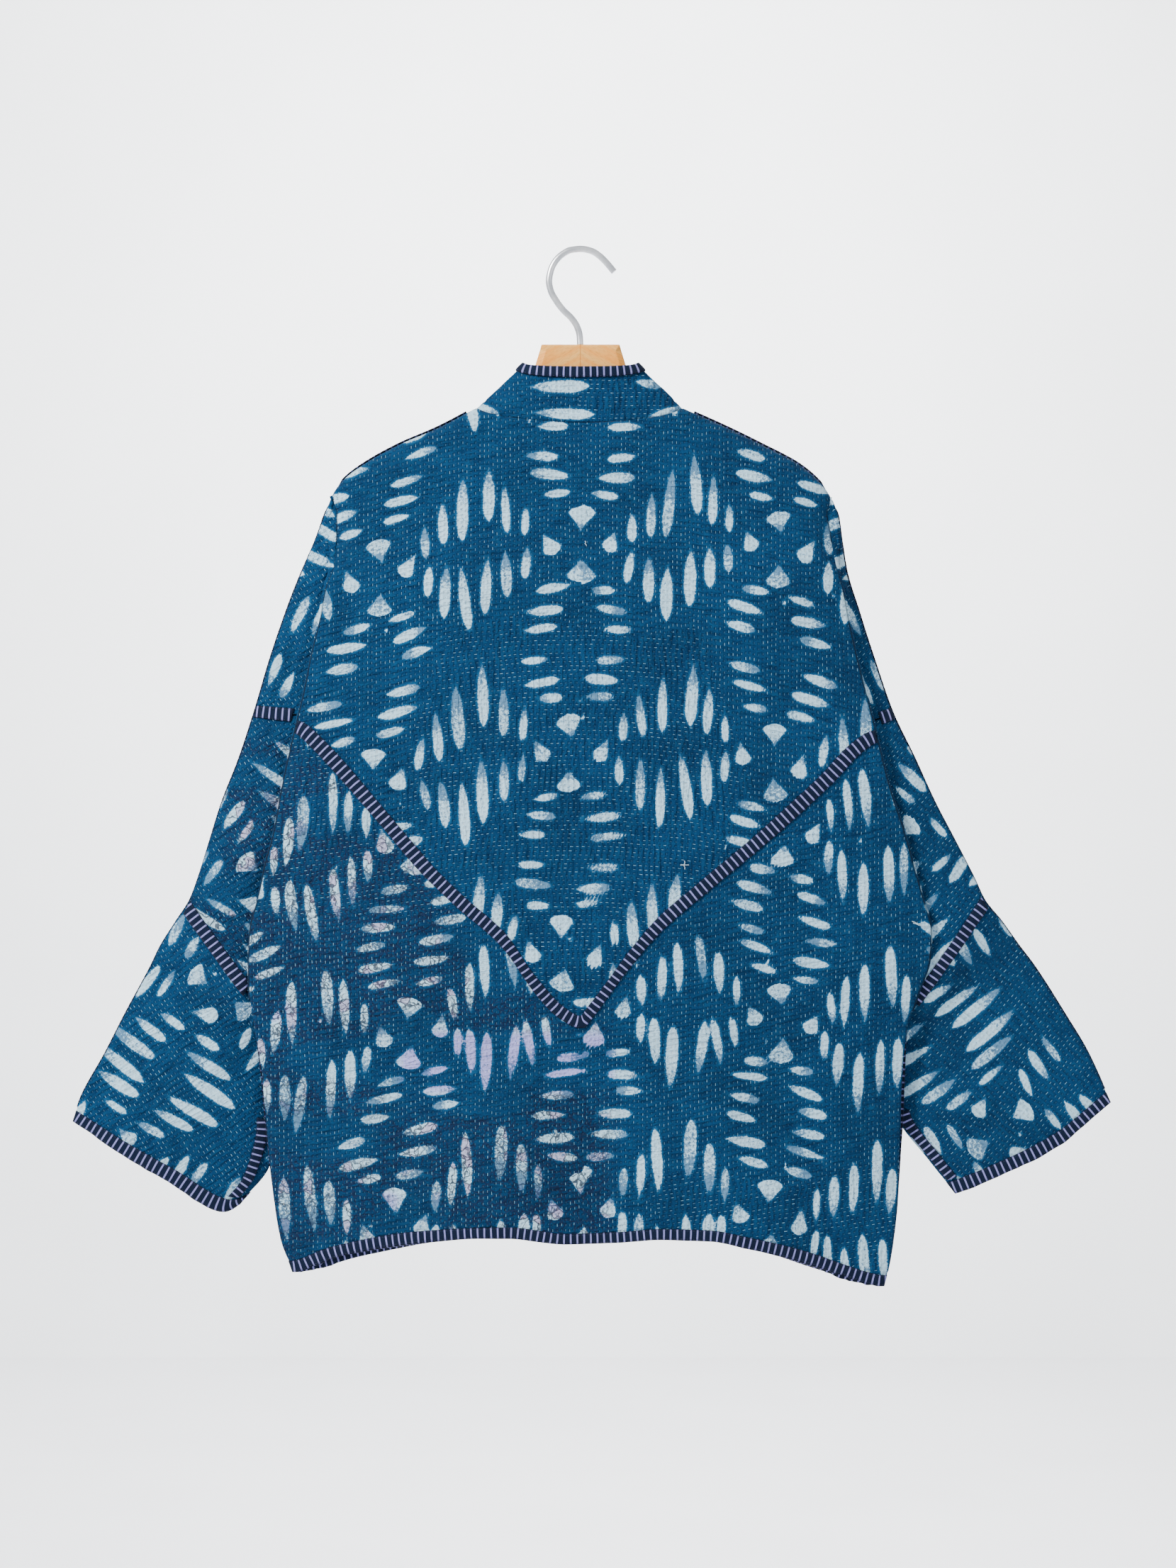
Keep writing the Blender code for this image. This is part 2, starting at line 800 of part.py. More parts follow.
def underarm_tapes(looks, home):
    for side in (LEFT, RIGHT):

        def end(share, r, side=side):
            return sleeve_end(side, -1, r, share)

        rows = [[], [], []]
        for r in np.linspace(0.62, 0.945, 5):
            width = np.linalg.norm(end(1, r) - end(0, r))
            for row, away in zip(rows, (-TAPE_HALF, 0, TAPE_HALF)):
                share = (UNDERARM_TAPE[side] + away) / width
                row.append(end(share, r) + outward(end, share, r, BACKWARD, 0.01, 0.02) * (LIFT + 0.3))
        strip("underarm_tape_" + NAMES[side], rows, BACKWARD, looks["tape"], home)


def binding(name, surface, us, edge, width, way, down, home, look, du, dv):
    """A tape folded over a raw edge: up the outside, and a lip under the wall. edge gives v at the edge."""
    rows = [[], [], []]
    for u in us:
        inside = min(max(u, us[0] + du), us[-1] - du)
        normal = outward(surface, inside, edge(u) - width, way, du, dv)
        low = surface(u, edge(u))
        rows[0].append(surface(u, edge(u) - width) + normal * LIFT)
        rows[1].append(low + normal * LIFT + down * (GAP + 0.2))
        rows[2].append(low + normal * 0.6 + down * (GAP + 0.2))
    strip(name, rows, way, look, home)


def bindings(looks, home):
    down = np.array([0.0, 0.0, -1.0])
    binding("hem_tape_back", back, BODY_Q, hem_end, HEM_TAPE, BACKWARD, down, home, looks["tape"], 0.01, 2.0)
    for side in (LEFT, RIGHT):

        def body(c, drop, side=side):
            return front(side, c, drop)

        def hem(c, side=side):
            return front_hem(side, c)

        name = "hem_tape_front_" + NAMES[side]
        columns = spread(FRONT_COLUMNS)
        binding(name, body, columns, hem, HEM_TAPE, FORWARD, down, home, looks["tape"], 0.02, 2.0)
        for layer, word in ((-1, "back"), (1, "front")):

            def end(share, r, side=side, layer=layer):
                return sleeve_end(side, layer, r, share)

            out = end(0.5, 1) - end(0.5, 0.95)
            name = f"cuff_tape_{word}_{NAMES[side]}"
            shares = np.concatenate([[0, 0.06], np.linspace(0.16, 1, 7)])
            out = out / np.linalg.norm(out)
            look = looks["tape"]
            binding(name, end, shares, lambda s: 1.0, 0.045, facing(layer), out, home, look, 0.02, 0.01)


BANDS = table(BAND)
BAND_BOTTOM = 832.0
BACK_SHARES = (0.0, 0.22, 0.44, 0.64, 0.8, 0.92)
FRONT_DROPS = (134, 141, 150, 164, 180, 200, 220, 245, 270, 305, 340, 400, 470, 560, 650, 740, BAND_BOTTOM)


def band_ends(station):
    """The seam and free edge of the band. station runs from 0 at the nape to 1 at the shoulder seam, then on
    by drops down the front. A negative station is on the left."""
    side = LEFT if station < 0 else RIGHT
    along = abs(station)
    if along <= 1:
        turn = along * math.pi / 2
        seam = back(side * along, neck_drop(along))
        seam[1] = seam[1] * (1 - along**8)
        free = np.array([side * 47.5 * math.sin(turn), -10.5 * math.cos(turn), 0.0])
        free[2] = -lerp(97.0, 94.5, along)
        return seam, free
    drop = lerp(FRONT_DROPS[0], FRONT_DROPS[-1], along - 1)
    seam = front(side, 0, drop)
    seam[0] = side * (abs(seam[0]) - 0.3)
    seam[1] = seam[1] * ease((drop - 134) / 14)
    if drop < BANDS["seam_drop"][-1]:
        values = [smooth(BANDS["seam_drop"], BANDS[n], drop) for n in ("free_x", "free_y", "free_drop")]
        return seam, np.array([side * values[0], values[1], -values[2]])
    return seam, np.array([side * BANDS["free_x"][-1], seam[1] + 0.6, -drop])


def band(station, share):
    seam, free = band_ends(station)
    return lerp(seam, free, share)


def band_stations():
    half = list(BACK_SHARES)
    half += [1 + (d - FRONT_DROPS[0]) / (FRONT_DROPS[-1] - FRONT_DROPS[0]) for d in FRONT_DROPS]
    return [-s for s in half[:0:-1]] + half


def collar(looks, home):
    stations = band_stations()
    rows = [[band(s, share) for s in stations] for share in (0.02, 0.35, 0.68, 1.0)]
    middle = len(stations) // 2
    across = rows[0][middle + 1] - rows[0][middle]
    up = rows[1][middle] - rows[0][middle]
    flip = np.dot(np.cross(up, across), BACKWARD) < 0
    cloth("collar_band", [(rows, flip)], looks["cloth"], home)

    tape = [[], [], []]
    for number, station in enumerate(stations):
        near = stations[max(number - 1, 0)], stations[min(number + 1, len(stations) - 1)]
        seam, free = band_ends(station)
        up = (free - seam) / np.linalg.norm(free - seam)
        run = band(near[1], 0.9) - band(near[0], 0.9)
        normal = np.cross(up, run)
        normal = normal / np.linalg.norm(normal)
        if number == 0:
            turn = 1 if np.dot(normal, FORWARD) > 0 else -1
        normal = normal * turn
        tape[0].append(free - up * 7.5 + normal * (LIFT + 0.5))
        tape[1].append(free + normal * (LIFT + 0.5) + up * (GAP + 0.6))
        tape[2].append(free + normal * 0.3 + up * (GAP + 0.6))
    flip = np.dot(np.cross(tape[1][1] - tape[0][1], tape[0][2] - tape[0][1]), FORWARD) < 0
    cloth("band_tape", [(tape, flip)], looks["tape"], home, thickness=TAPE)


def hanger(looks, home):
    rows = table(HANGER)
    half = list(zip(rows["x"], rows["drop"]))
    outline = half + [(-x, drop) for x, drop in half[-2::-1]]
    curve = bpy.data.curves.new("hanger_body", "CURVE")
    curve.dimensions = "2D"
    curve.fill_mode = "BOTH"
    curve.extrude = (HANGER_HALF - HANGER_ROUND) * MM
    curve.bevel_depth = HANGER_ROUND * MM
    curve.bevel_resolution = 1
    curve.offset = -HANGER_ROUND * MM
    spline = curve.splines.new("POLY")
    spline.points.add(len(outline) - 1)
    for point, (x, drop) in zip(spline.points, outline):
        point.co = (x * MM, -drop * MM, 0, 1)
    spline.use_cyclic_u = True
    curve.materials.append(looks["wood"])
    body = bpy.data.objects.new("hanger_body", curve)
    body.rotation_euler = (math.pi / 2, 0, 0)
    home.objects.link(body)

    rows = table(HOOK)
    points = np.stack([rows["x"], rows["z"]], axis=1)
    lengths = np.concatenate([[0], np.cumsum(np.linalg.norm(np.diff(points, axis=0), axis=1))])
    curve = bpy.data.curves.new("hanger_hook", "CURVE")
    curve.dimensions = "3D"
    curve.bevel_depth = HOOK_RADIUS * MM
    curve.bevel_resolution = 3
    curve.use_fill_caps = True
    spline = curve.splines.new("POLY")
    spline.points.add(HOOK_POINTS - 1)
    for point, at in zip(spline.points, np.linspace(0, lengths[-1], HOOK_POINTS)):
        x, z = smooth(lengths, rows["x"], at), smooth(lengths, rows["z"], at)
        point.co = (x * MM, 0, z * MM, 1)
    curve.materials.append(looks["steel"])
    home.objects.link(bpy.data.objects.new("hanger_hook", curve))


def main():
    clear_scene()
    home = collection("kantha_jacket_on_hanger")
    looks = {
        "cloth": material("indigo_cotton", (0.012, 0.105, 0.29), 0.85),
        "tape": material("striped_tape", (0.010, 0.018, 0.05), 0.8),
        "wood": material("beech", (0.72, 0.45, 0.20), 0.45),
        "steel": material("satin_steel", (0.62, 0.63, 0.65), 0.3, 1.0),
    }
    yoke_and_lower(looks, home)
    fronts(looks, home)
    sleeve_ends(looks, home)
    collar(looks, home)
    yoke_tape(looks, home)
    sleeve_tapes(looks, home)
    top_tapes(looks, home)
    side_tapes(looks, home)
    underarm_tapes(looks, home)
    bindings(looks, home)
    hanger(looks, home)


main()
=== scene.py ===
"""The looks of a kantha jacket that hangs on a wood hanger: cloth, print, stitches, tape, wood and steel.

Lengths in the tables and shape functions are in millimetres. A drop is a distance below the origin,
where the hook hangs. x is positive towards the right as seen from behind, where the camera stands.
A name that ends in FINE is the number of points along one way of a grid or tape.
"""

import itertools
import math
from functools import partial

import bmesh
import bpy
import numpy as np
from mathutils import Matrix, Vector


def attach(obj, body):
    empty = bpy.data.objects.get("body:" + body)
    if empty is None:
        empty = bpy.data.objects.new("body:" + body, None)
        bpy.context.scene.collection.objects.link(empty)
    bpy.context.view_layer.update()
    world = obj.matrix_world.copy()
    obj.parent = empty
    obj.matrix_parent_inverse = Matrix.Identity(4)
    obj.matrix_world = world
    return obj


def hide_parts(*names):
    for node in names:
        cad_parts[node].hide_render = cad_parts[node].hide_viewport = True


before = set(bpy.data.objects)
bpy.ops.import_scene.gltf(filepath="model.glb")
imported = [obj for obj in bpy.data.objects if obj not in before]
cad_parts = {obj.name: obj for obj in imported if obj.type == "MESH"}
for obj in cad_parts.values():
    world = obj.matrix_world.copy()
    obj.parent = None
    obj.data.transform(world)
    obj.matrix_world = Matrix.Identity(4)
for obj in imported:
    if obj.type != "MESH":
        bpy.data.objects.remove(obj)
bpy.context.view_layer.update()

MM = 0.001
WALL = 2.0
TAPE = 1.0
SHELL = 0.9
TAPE_SHELL = 0.85
GAP = 0.35
SEAM = 0.65
WELD = 0.02
LIFT = WALL + GAP + 0.15
TAPE_HALF = 5.0
HEM_TAPE = 8.2
NOSE = 2.0
LEFT, RIGHT = SIDES = -1, 1
NAMES = {LEFT: "left", RIGHT: "right"}
BACK, FRONT = LAYERS = -1, 1
WORDS = {BACK: "back", FRONT: "front"}
FACING = {BACK: (0.0, -1.0, 0.0), FRONT: (0.0, 1.0, 0.0)}

FAN_SHARE = 0.27
FAN_BLEND = 14.0
APEX_SHARE = 0.5
CLOSING_RUN = 55.0
UNDERARM_NOTCH = 2.5
SEAM_RISE = 9.0
SLEEVE_SEAM = {LEFT: 389.0, RIGHT: 391.0}
END_SEAM = {LEFT: 553.0, RIGHT: 549.0}
SEAM_EDGE = {LEFT: 402.0, RIGHT: 410.0}
HEM_EDGE = {LEFT: 861.0, RIGHT: 873.0}
NECK_DROP = 134.0
MID_BACK = 500.0
NEAR_HEM = 850.0
SEAM_ROUNDS = 30
FRONT_SAG = {LEFT: 8.0, RIGHT: 5.5}
NECK_RISE = 11.2
OPEN_STEPS = np.array([0, 0.4, 0.55, 0.7, 0.85, 1.0])

TOP_LINE = """
drop left right
134   90.0  88.0
151  122.4 126.0
165  155.0 154.5
181  184.0 185.0
193  200.0 200.0
205  209.5 210.0
221  216.0 217.5
243  224.7 220.9
270  236.5 225.0
302  249.3 235.2
342  263.2 248.3
390  277.5 265.0
428  290.0 283.6
467  305.4 302.0
500  316.0 319.5
530  325.5 335.0
550  333.2 344.6
568  345.0 359.5
590  359.4 375.8
606  367.0 387.8
647  388.6 413.6
679  404.6 432.5
720  426.3 450.6
736  431.0 457.0
"""

BODY_EDGE = """
drop left right
205  209.5 210.0
221  206.6 209.0
235  206.8 211.2
265  208.2 216.0
285  214.8 221.0
313  220.2 226.5
340  226.8 232.4
372  233.3 240.6
400  240.2 247.8
456  252.6 261.8
492  259.2 273.8
518  266.4 281.0
546  272.4 289.0
575  279.6 296.4
600  280.8 295.0
626  280.6 286.2
656  277.0 277.8
694  271.2 273.8
745  266.7 272.0
805  259.8 269.2
836  254.4 265.8
861  245.0 261.5
873  241.0 258.0
"""

BODY_DEPTH = """
drop back front flat nose
134  10.0  9.5  6.0 0.5
205  14.0 12.0  6.0 0.5
300  11.0 12.0  3.4 0.8
400  12.0 13.0  2.6 1.0
640  20.0 18.0  2.6 1.0
873  26.0 21.0  2.6 1.0
"""

ARM = """
share mid bulge close edge tuck fold
0.00  0.0  0.0  0.00  0.3  0.0  0.0
0.08  1.0  2.0  0.00  3.6  8.0  0.0
0.14  2.2  4.4  0.00  8.4 12.0  0.2
0.20  3.0  6.0  0.00 12.0 14.0  0.5
0.32  3.5  6.5  0.00 12.0 15.0  1.0
0.45  4.0  7.0  0.00 12.0 16.0  1.0
0.69  4.0  7.0  0.45 11.0 14.0  1.0
0.93  4.0  7.0  0.90  7.5  8.0  1.0
1.00  4.0  7.0  1.00  4.5  4.0  1.0
"""

YOKE_SEAM = """
x drop
-245 401
-213 426
-170 473
-127 523
-100 549
-65  580
-37  619
-16  641
0    649
9    640
21   624
41   597
67   567
102  537
155  493
208  445
229  425
257  408
"""

HEM = """
x drop
-246 861
-208 848
-168 839
-128 833
-88  830
-59  829
-11  835
28   834
68   831
108  832
138  838
167  845
197  854
227  864
258  873
"""

FRONT_EDGE = """
drop x
134  88
150  82
180  71
220  60
270  53
340  50
873  50
"""

UNDERARM = """
share left_x left_drop right_x right_drop
0.10  282    648       282     656
0.25  273    674       273     680
0.45  262    706       265     708
0.65  256    738       271     735
0.85  266    776       297     770
1.00  291    805       319     797
"""

CUFF = """
share left_x left_drop right_x right_drop
0.00  291    805       319     797
0.10  304    812       331     792
0.40  350    786       371     774
0.70  391    762       408     754
1.00  431    736       450     720
"""

BACK_FOLDS = """
x0 z0 x1 z1 width depth
-190 610 -150 700 16 -3.0
-225 650 -165 745 14 2.5
-120 640 -60 690 18 -2.0
-205 300 -150 420 22 -2.5
200 300 175 400 24 -2.5
60 200 -60 205 20 -1.5
235 580 150 640 20 -2.5
110 700 130 830 26 3.0
-60 720 -70 830 26 3.0
20 700 25 835 30 -3.5
-150 760 -165 838 24 -3.0
190 760 205 855 24 -3.0
"""

FRONT_FOLDS = """
x0 z0 x1 z1 width depth
150 260 120 420 24 -3.0
190 420 120 560 24 3.0
200 650 190 860 26 -3.5
120 620 110 860 26 3.5
"""

# Finer creases, laid over the folds above, on the back and the sleeves
CREASES = """
x0 z0 x1 z1 width depth
-205 640 -150 668 7 -1.0
-222 668 -160 700 7 0.9
-232 700 -172 742 7 -1.0
-228 735 -185 778 8 0.8
-250 610 -205 640 8 -0.8
-238 560 -190 600 9 0.8
-150 655 -95 672 7 -0.7
-130 690 -60 706 8 0.6
-235 460 -205 520 8 -0.8
-215 430 -190 500 9 0.7
215 470 190 540 9 -0.8
240 560 205 610 9 0.8
245 620 180 650 8 -0.9
240 660 170 700 9 0.7
-80 160 -150 180 8 -0.7
80 160 150 180 8 -0.7
-175 230 -205 260 9 0.7
185 225 205 262 9 0.7
-60 250 40 262 10 0.5
30 330 120 345 10 -0.5
-130 380 -60 400 10 -0.5
60 430 -30 445 10 0.5
-250 420 -275 470 8 -0.8
-262 500 -300 560 9 0.9
-285 560 -330 600 9 -0.9
-290 620 -380 650 10 0.8
-275 660 -395 690 10 -0.9
-270 720 -400 728 11 0.9
-300 770 -360 740 9 -0.7
262 420 285 480 8 -0.8
275 520 320 575 9 0.9
300 590 380 625 10 -0.9
290 640 405 670 10 0.9
280 700 410 700 11 -0.8
330 765 390 735 9 0.7
"""

BAND = """
seam_drop free_x free_y free_drop
134  47.5  0.0  96.6
150  44.0  7.5 108.0
180  34.0 12.0 140.0
220  22.0 15.5 190.0
270  12.0 19.0 252.0
340   7.0 23.0 334.0
400   6.5 25.0 400.0
"""
BAND_BOTTOM = 832.0

HOOK_RADIUS = 2.8
HANGER_HALF = 5.5
HANGER_ROUND = 1.5
SIDE_SETTLE = 0.75
SIDE_LIP = {LEFT: 1.5, RIGHT: 2.7}
UNDERARM_TAPE = {LEFT: 17.0, RIGHT: 7.0}

HANGER = """
x drop
33   78.6
38   95
41  106
51  124
68  139
90  151
120 165
150 179
176 193
190 203
194 210
190 216
181 217
166 210
144 199
110 183
70  168
35  159
0   156
"""

HOOK = """
x z
-0.3 -78.2
-0.8 -70.2
-3.2 -62.4
-8.2 -55.2
-14.4 -49.2
-20.5 -41.2
-25.2 -32.4
-26.7 -24.5
-25.2 -15.6
-21.4 -7.8
-15.2 -1.6
-8.2 1.9
0.6 2.8
9.4 1.0
16.4 -3.4
22.6 -9.6
28.4 -16.6
"""


def table(text):
    """The rows of a table as arrays, one for each named column."""
    lines = text.split("\n")[1:-1]
    names = lines[0].split()
    rows = np.array([[float(word) for word in line.split()] for line in lines[1:]])
    return dict(zip(names, rows.T))


def smooth(knots, values, at):
    """A cubic curve through the knots that never overshoots them."""
    step = np.diff(knots)
    rise = np.diff(values) / step
    product = rise[:-1] * rise[1:]
    total = np.where(product > 0, rise[:-1] + rise[1:], 1.0)
    slope = np.concatenate([rise[:1], np.where(product > 0, 2 * product / total, 0.0), rise[-1:]])
    at = np.asarray(at, float)
    i = np.clip(np.searchsorted(knots, at) - 1, 0, len(step) - 1)
    u = (at - knots[i]) / step[i]
    start = values[i] * (1 + 2 * u) * (1 - u) ** 2 + slope[i] * step[i] * u * (1 - u) ** 2
    return start + values[i + 1] * u * u * (3 - 2 * u) - slope[i + 1] * step[i] * u * u * (1 - u)


def lerp(a, b, share):
    return a + (b - a) * share


def ease(share):
    share = np.clip(share, 0.0, 1.0)
    return share * share * (3 - 2 * share)


def held(at, start, end, low=0.0, high=1.0):
    """1 inside a range and 0 outside it, with soft ramps of these widths at its start and end."""
    return ease((at - low) / start) * ease((high - at) / end)


def crossed(rows, columns):
    """Two arrays: each row's value and each column's, over the whole grid."""
    return np.meshgrid(rows, columns, indexing="ij")


def named_rows(text):
    """The rows of a table whose first column is a name."""
    rows = [line.split() for line in text.split("\n")[2:-1]]
    return {row[0]: [float(word) for word in row[1:]] for row in rows}


TOPS = table(TOP_LINE)
EDGES = table(BODY_EDGE)
DEPTHS = table(BODY_DEPTH)
ARMS = table(ARM)
SEAMS = table(YOKE_SEAM)
HEMS = table(HEM)
FRONT_EDGES = table(FRONT_EDGE)
UNDERARMS = table(UNDERARM)
CUFFS = table(CUFF)
BANDS = table(BAND)
FOLD_TABLES = {"back": table(BACK_FOLDS), "front": table(FRONT_FOLDS), "crease": table(CREASES)}
FAN = {s: lerp(NECK_DROP, SEAM_EDGE[s], FAN_SHARE) for s in SIDES}
APEX = {s: lerp(SEAM_EDGE[s], HEM_EDGE[s], APEX_SHARE) for s in SIDES}


def folds(x, drop, kind):
    """How far a table's folds push the cloth out at a place."""
    total = np.zeros(np.broadcast(x, drop).shape)
    for x0, z0, x1, z1, width, depth in zip(*FOLD_TABLES[kind].values()):
        dx, dz = x1 - x0, z1 - z0
        near = np.clip(((x - x0) * dx + (drop - z0) * dz) / (dx * dx + dz * dz), 0, 1)
        away = ((x - x0 - near * dx) ** 2 + (drop - z0 - near * dz) ** 2) / width**2
        total = total + depth * np.exp(-away)
    return total


def seam_drop(x):
    return smooth(SEAMS["x"], SEAMS["drop"], x)


def hem_drop(x):
    return smooth(HEMS["x"], HEMS["drop"], x)


def top_x(side, drop):
    return smooth(TOPS["drop"], TOPS[NAMES[side]], drop) - NOSE


def edge_x(side, drop):
    """Half the body's width at a drop: the shoulder line, then the fold, then the side seam."""
    below = smooth(EDGES["drop"], EDGES[NAMES[side]], drop) - NOSE
    fan = FAN[side]
    fold = lerp(top_x(side, fan), below, ease((drop - fan) / FAN_BLEND))
    return np.where(drop <= fan, top_x(side, drop), fold)


def arm(side, drop):
    """The armhole fold and sleeve at a drop of the body's outer column."""
    share = np.clip((drop - FAN[side]) / (APEX[side] - FAN[side]), 0.0, 1.0)
    return {name: smooth(ARMS["share"], ARMS[name], share) for name in ARMS}


def closing(side, drop):
    """0 at the underarm and 1 where the side seam has closed to its own plane."""
    return ease((drop - APEX[side]) / CLOSING_RUN)


def points(x, y, z):
    return np.stack(np.broadcast_arrays(x, y, z), axis=-1)


def depth_shape(drop):
    return {name: smooth(DEPTHS["drop"], DEPTHS[name], drop) for name in DEPTHS}


def body_back(side, share, drop):
    x = side * share * edge_x(side, drop)
    shape = depth_shape(drop)
    sides = [lerp(arm(s, drop)["edge"], 0.3, closing(s, drop)) for s in (side, -side)]
    edge = lerp((sides[0] + sides[1]) / 2, sides[0], ease(share / 0.3))
    swell = np.maximum(1 - share ** shape["flat"], 0.0) ** shape["nose"]
    y = -edge - shape["back"] * swell - (1 - share**6) * folds(x, drop, "back")
    return points(x, y, -drop)


def top_drop(side, drop):
    """The drop on the top line that a sleeve row reaches, from its drop at the body."""
    knots = [FAN[side], SEAM_EDGE[side], APEX[side]]
    return np.interp(drop, knots, [FAN[side], SLEEVE_SEAM[side], END_SEAM[side]])


def inner_drop(side, drop):
    """Rows climb a little inside the armhole fold, most at the yoke seam."""
    knots = [FAN[side], SEAM_EDGE[side], APEX[side]]
    return drop - np.interp(drop, knots, [0, SEAM_RISE, 0])


def tuck(side, drop, share):
    """The armhole fold at a row: share runs round the body's edge, in behind it, and out to the sleeve."""
    drop = np.asarray(drop, float)[..., None]
    a = arm(side, drop)
    e = edge_x(side, drop)
    level = a["mid"] - 0.3 - a["bulge"] * (1 - a["close"])
    room = top_x(side, top_drop(side, drop)) - e
    open_x = OPEN_STEPS * np.minimum(9.0, 0.8 * room)
    open_y = lerp(-a["edge"], level, np.linspace(0, 1, 6))
    t = a["tuck"]
    half = np.minimum(3.0, t / 2)
    strip = 3 - a["edge"]
    zero = np.zeros_like(t)
    shut_x = np.concatenate([zero, zero + 0.8, -half, half - t, -t, 2 - t], axis=-1)
    shut_y = [-a["edge"], 1.6 - a["edge"], strip, strip, (strip + level) / 2, level]
    shut_y = np.concatenate(shut_y, axis=-1)
    x = side * (e + lerp(open_x, shut_x, a["fold"]))
    y = lerp(open_y, shut_y, a["fold"])
    z = -lerp(drop, inner_drop(side, drop), np.linspace(0, 1, 6))
    corners = points(x, y, z)
    at = np.broadcast_to(np.asarray(share, float) * 5, drop.shape[:-1])
    i = np.clip(at.astype(int), 0, 4)[..., None, None]
    first = np.take_along_axis(corners, i, axis=-2)[..., 0, :]
    second = np.take_along_axis(corners, i + 1, axis=-2)[..., 0, :]
    return lerp(first, second, (at - i[..., 0, 0])[..., None])


def lens(share, close):
    share = np.maximum(share, 0.0)
    return (1 - share**3) * (1 - close * (1 - share) ** 5)


def sleeve_row(side, layer, share, drop):
    """A point between the armhole fold (share 0) and the top line (share 1)."""
    drop, share = np.broadcast_arrays(np.asarray(drop, float), np.asarray(share, float))
    a = arm(side, drop)
    start = tuck(side, drop, 1.0)
    down = top_drop(side, drop)
    x = lerp(start[..., 0], side * top_x(side, down), share)
    z = lerp(start[..., 2], -down, share)
    y = a["mid"] + layer * (0.3 + a["bulge"] * lens(share, a["close"]))
    return points(x, y, z)


def back(side, c, drop):
    """The back's inner surface. c is 0 at the centre, 1 at the body's edge, 2 in the fold, 3 at the top."""
    c, drop = np.broadcast_arrays(np.asarray(c, float), np.asarray(drop, float))
    made = body_back(side, np.clip(c, 0, 1), drop)
    folded = tuck(side, drop, np.clip(c - 1, 0, 1))
    sleeve = sleeve_row(side, BACK, np.clip(c - 2, 0, 1), drop)
    c = c[..., None]
    return np.where(c > 2, sleeve, np.where(c > 1, folded, made))


def front(side, c, drop):
    """A front's inner surface. c is 0 at the band seam, 1 at the sleeve or side seam, 3 at the top line."""
    c, drop = np.broadcast_arrays(np.asarray(c, float), np.asarray(drop, float))
    a = arm(side, drop)
    inside = tuck(side, drop, 1.0)
    outer = edge_x(side, drop)
    fold = 2 - a["tuck"]
    below = outer + fold * (1 - closing(side, drop))
    in_arm = (drop > FAN[side]) & (drop <= APEX[side])
    outer = np.where(in_arm, np.abs(inside[..., 0]), np.where(drop > APEX[side], below, outer))
    z = np.where(in_arm, -inner_drop(side, drop), -drop)
    inner = np.minimum(smooth(FRONT_EDGES["drop"], FRONT_EDGES["x"], drop) + 0.3, outer)
    share_c = np.clip(c, 0, 1)
    x = lerp(inner, outer, share_c)
    shape = depth_shape(drop)
    level = lerp(a["mid"] + 0.3 + a["bulge"] * (1 - a["close"]), 0.3, closing(side, drop))
    swell = np.maximum(1 - (x / outer) ** shape["flat"], 0.0) ** shape["nose"]
    y = level + shape["front"] * swell + (1 - share_c**6) * folds(x, drop, "front")
    made = points(side * x, y, z)
    sleeve = sleeve_row(side, FRONT, np.clip((c - 1) / 2, 0, 1), drop)
    return np.where((c > 1)[..., None], sleeve, made)


def along(rows, side, share):
    x, drop = (smooth(rows["share"], rows[NAMES[side] + word], share) for word in ("_x", "_drop"))
    return np.stack([side * x, -drop], axis=-1)


def sleeve_end(side, layer, share, r):
    """A sleeve end's inner surface. r is 0 at its seam and 1 at the cuff; share is 0 under the arm."""
    share, r = np.broadcast_arrays(np.asarray(share, float), np.asarray(r, float))
    apex = sleeve_row(side, layer, 0, APEX[side])[[0, 2]] + np.array([side * UNDERARM_NOTCH, 0.0])
    corner = along(CUFFS, side, 0.0)
    first = UNDERARMS["share"][0]
    low = lerp(apex, along(UNDERARMS, side, first), (r / first)[..., None])
    under = np.where((r < first)[..., None], low, along(UNDERARMS, side, r))
    last = -along(CUFFS, side, 1.0)[1]
    top_end = np.array([side * top_x(side, END_SEAM[side]), -END_SEAM[side]])
    down = lerp(END_SEAM[side], last, r)
    top = np.stack([side * top_x(side, down), -down], axis=-1)
    cuff = along(CUFFS, side, share)
    cuff_end = np.array([side * top_x(side, last), -last])
    s, t = share[..., None], r[..., None]
    plain = lerp(lerp(apex, corner, t), lerp(top_end, cuff_end, t), s)
    place = lerp(under, top, s) + lerp(lerp(apex, top_end, s), cuff, t) - plain
    mid = 4 + 12 * ease(r / 0.25)
    y = mid + layer * (0.3 + lerp(7, 9, r) * lens(share, 1))
    return points(place[..., 0], y, place[..., 1])


def neck_drop(q):
    return NECK_DROP + NECK_RISE * (1 - q * q)


def yoke_end(side, share):
    """The yoke seam's drop in a body column."""
    drop = np.full(np.shape(share), MID_BACK)
    for _ in range(SEAM_ROUNDS):
        drop = lerp(drop, seam_drop(side * share * edge_x(side, drop)), 0.5)
    return lerp(drop, SEAM_EDGE[side], share**20)


def hem_end(side, share):
    return lerp(hem_drop(side * share * edge_x(side, NEAR_HEM)), HEM_EDGE[side], share**20)


def front_hem(side, c):
    """The front hem hangs a little lower than the back's away from the side seam."""
    x = lerp(50, edge_x(side, HEM_EDGE[side]), c)
    return lerp(hem_drop(side * x), HEM_EDGE[side], c**8) + FRONT_SAG[side] * np.sin(math.pi * c) ** 0.7


# Uneven handwork

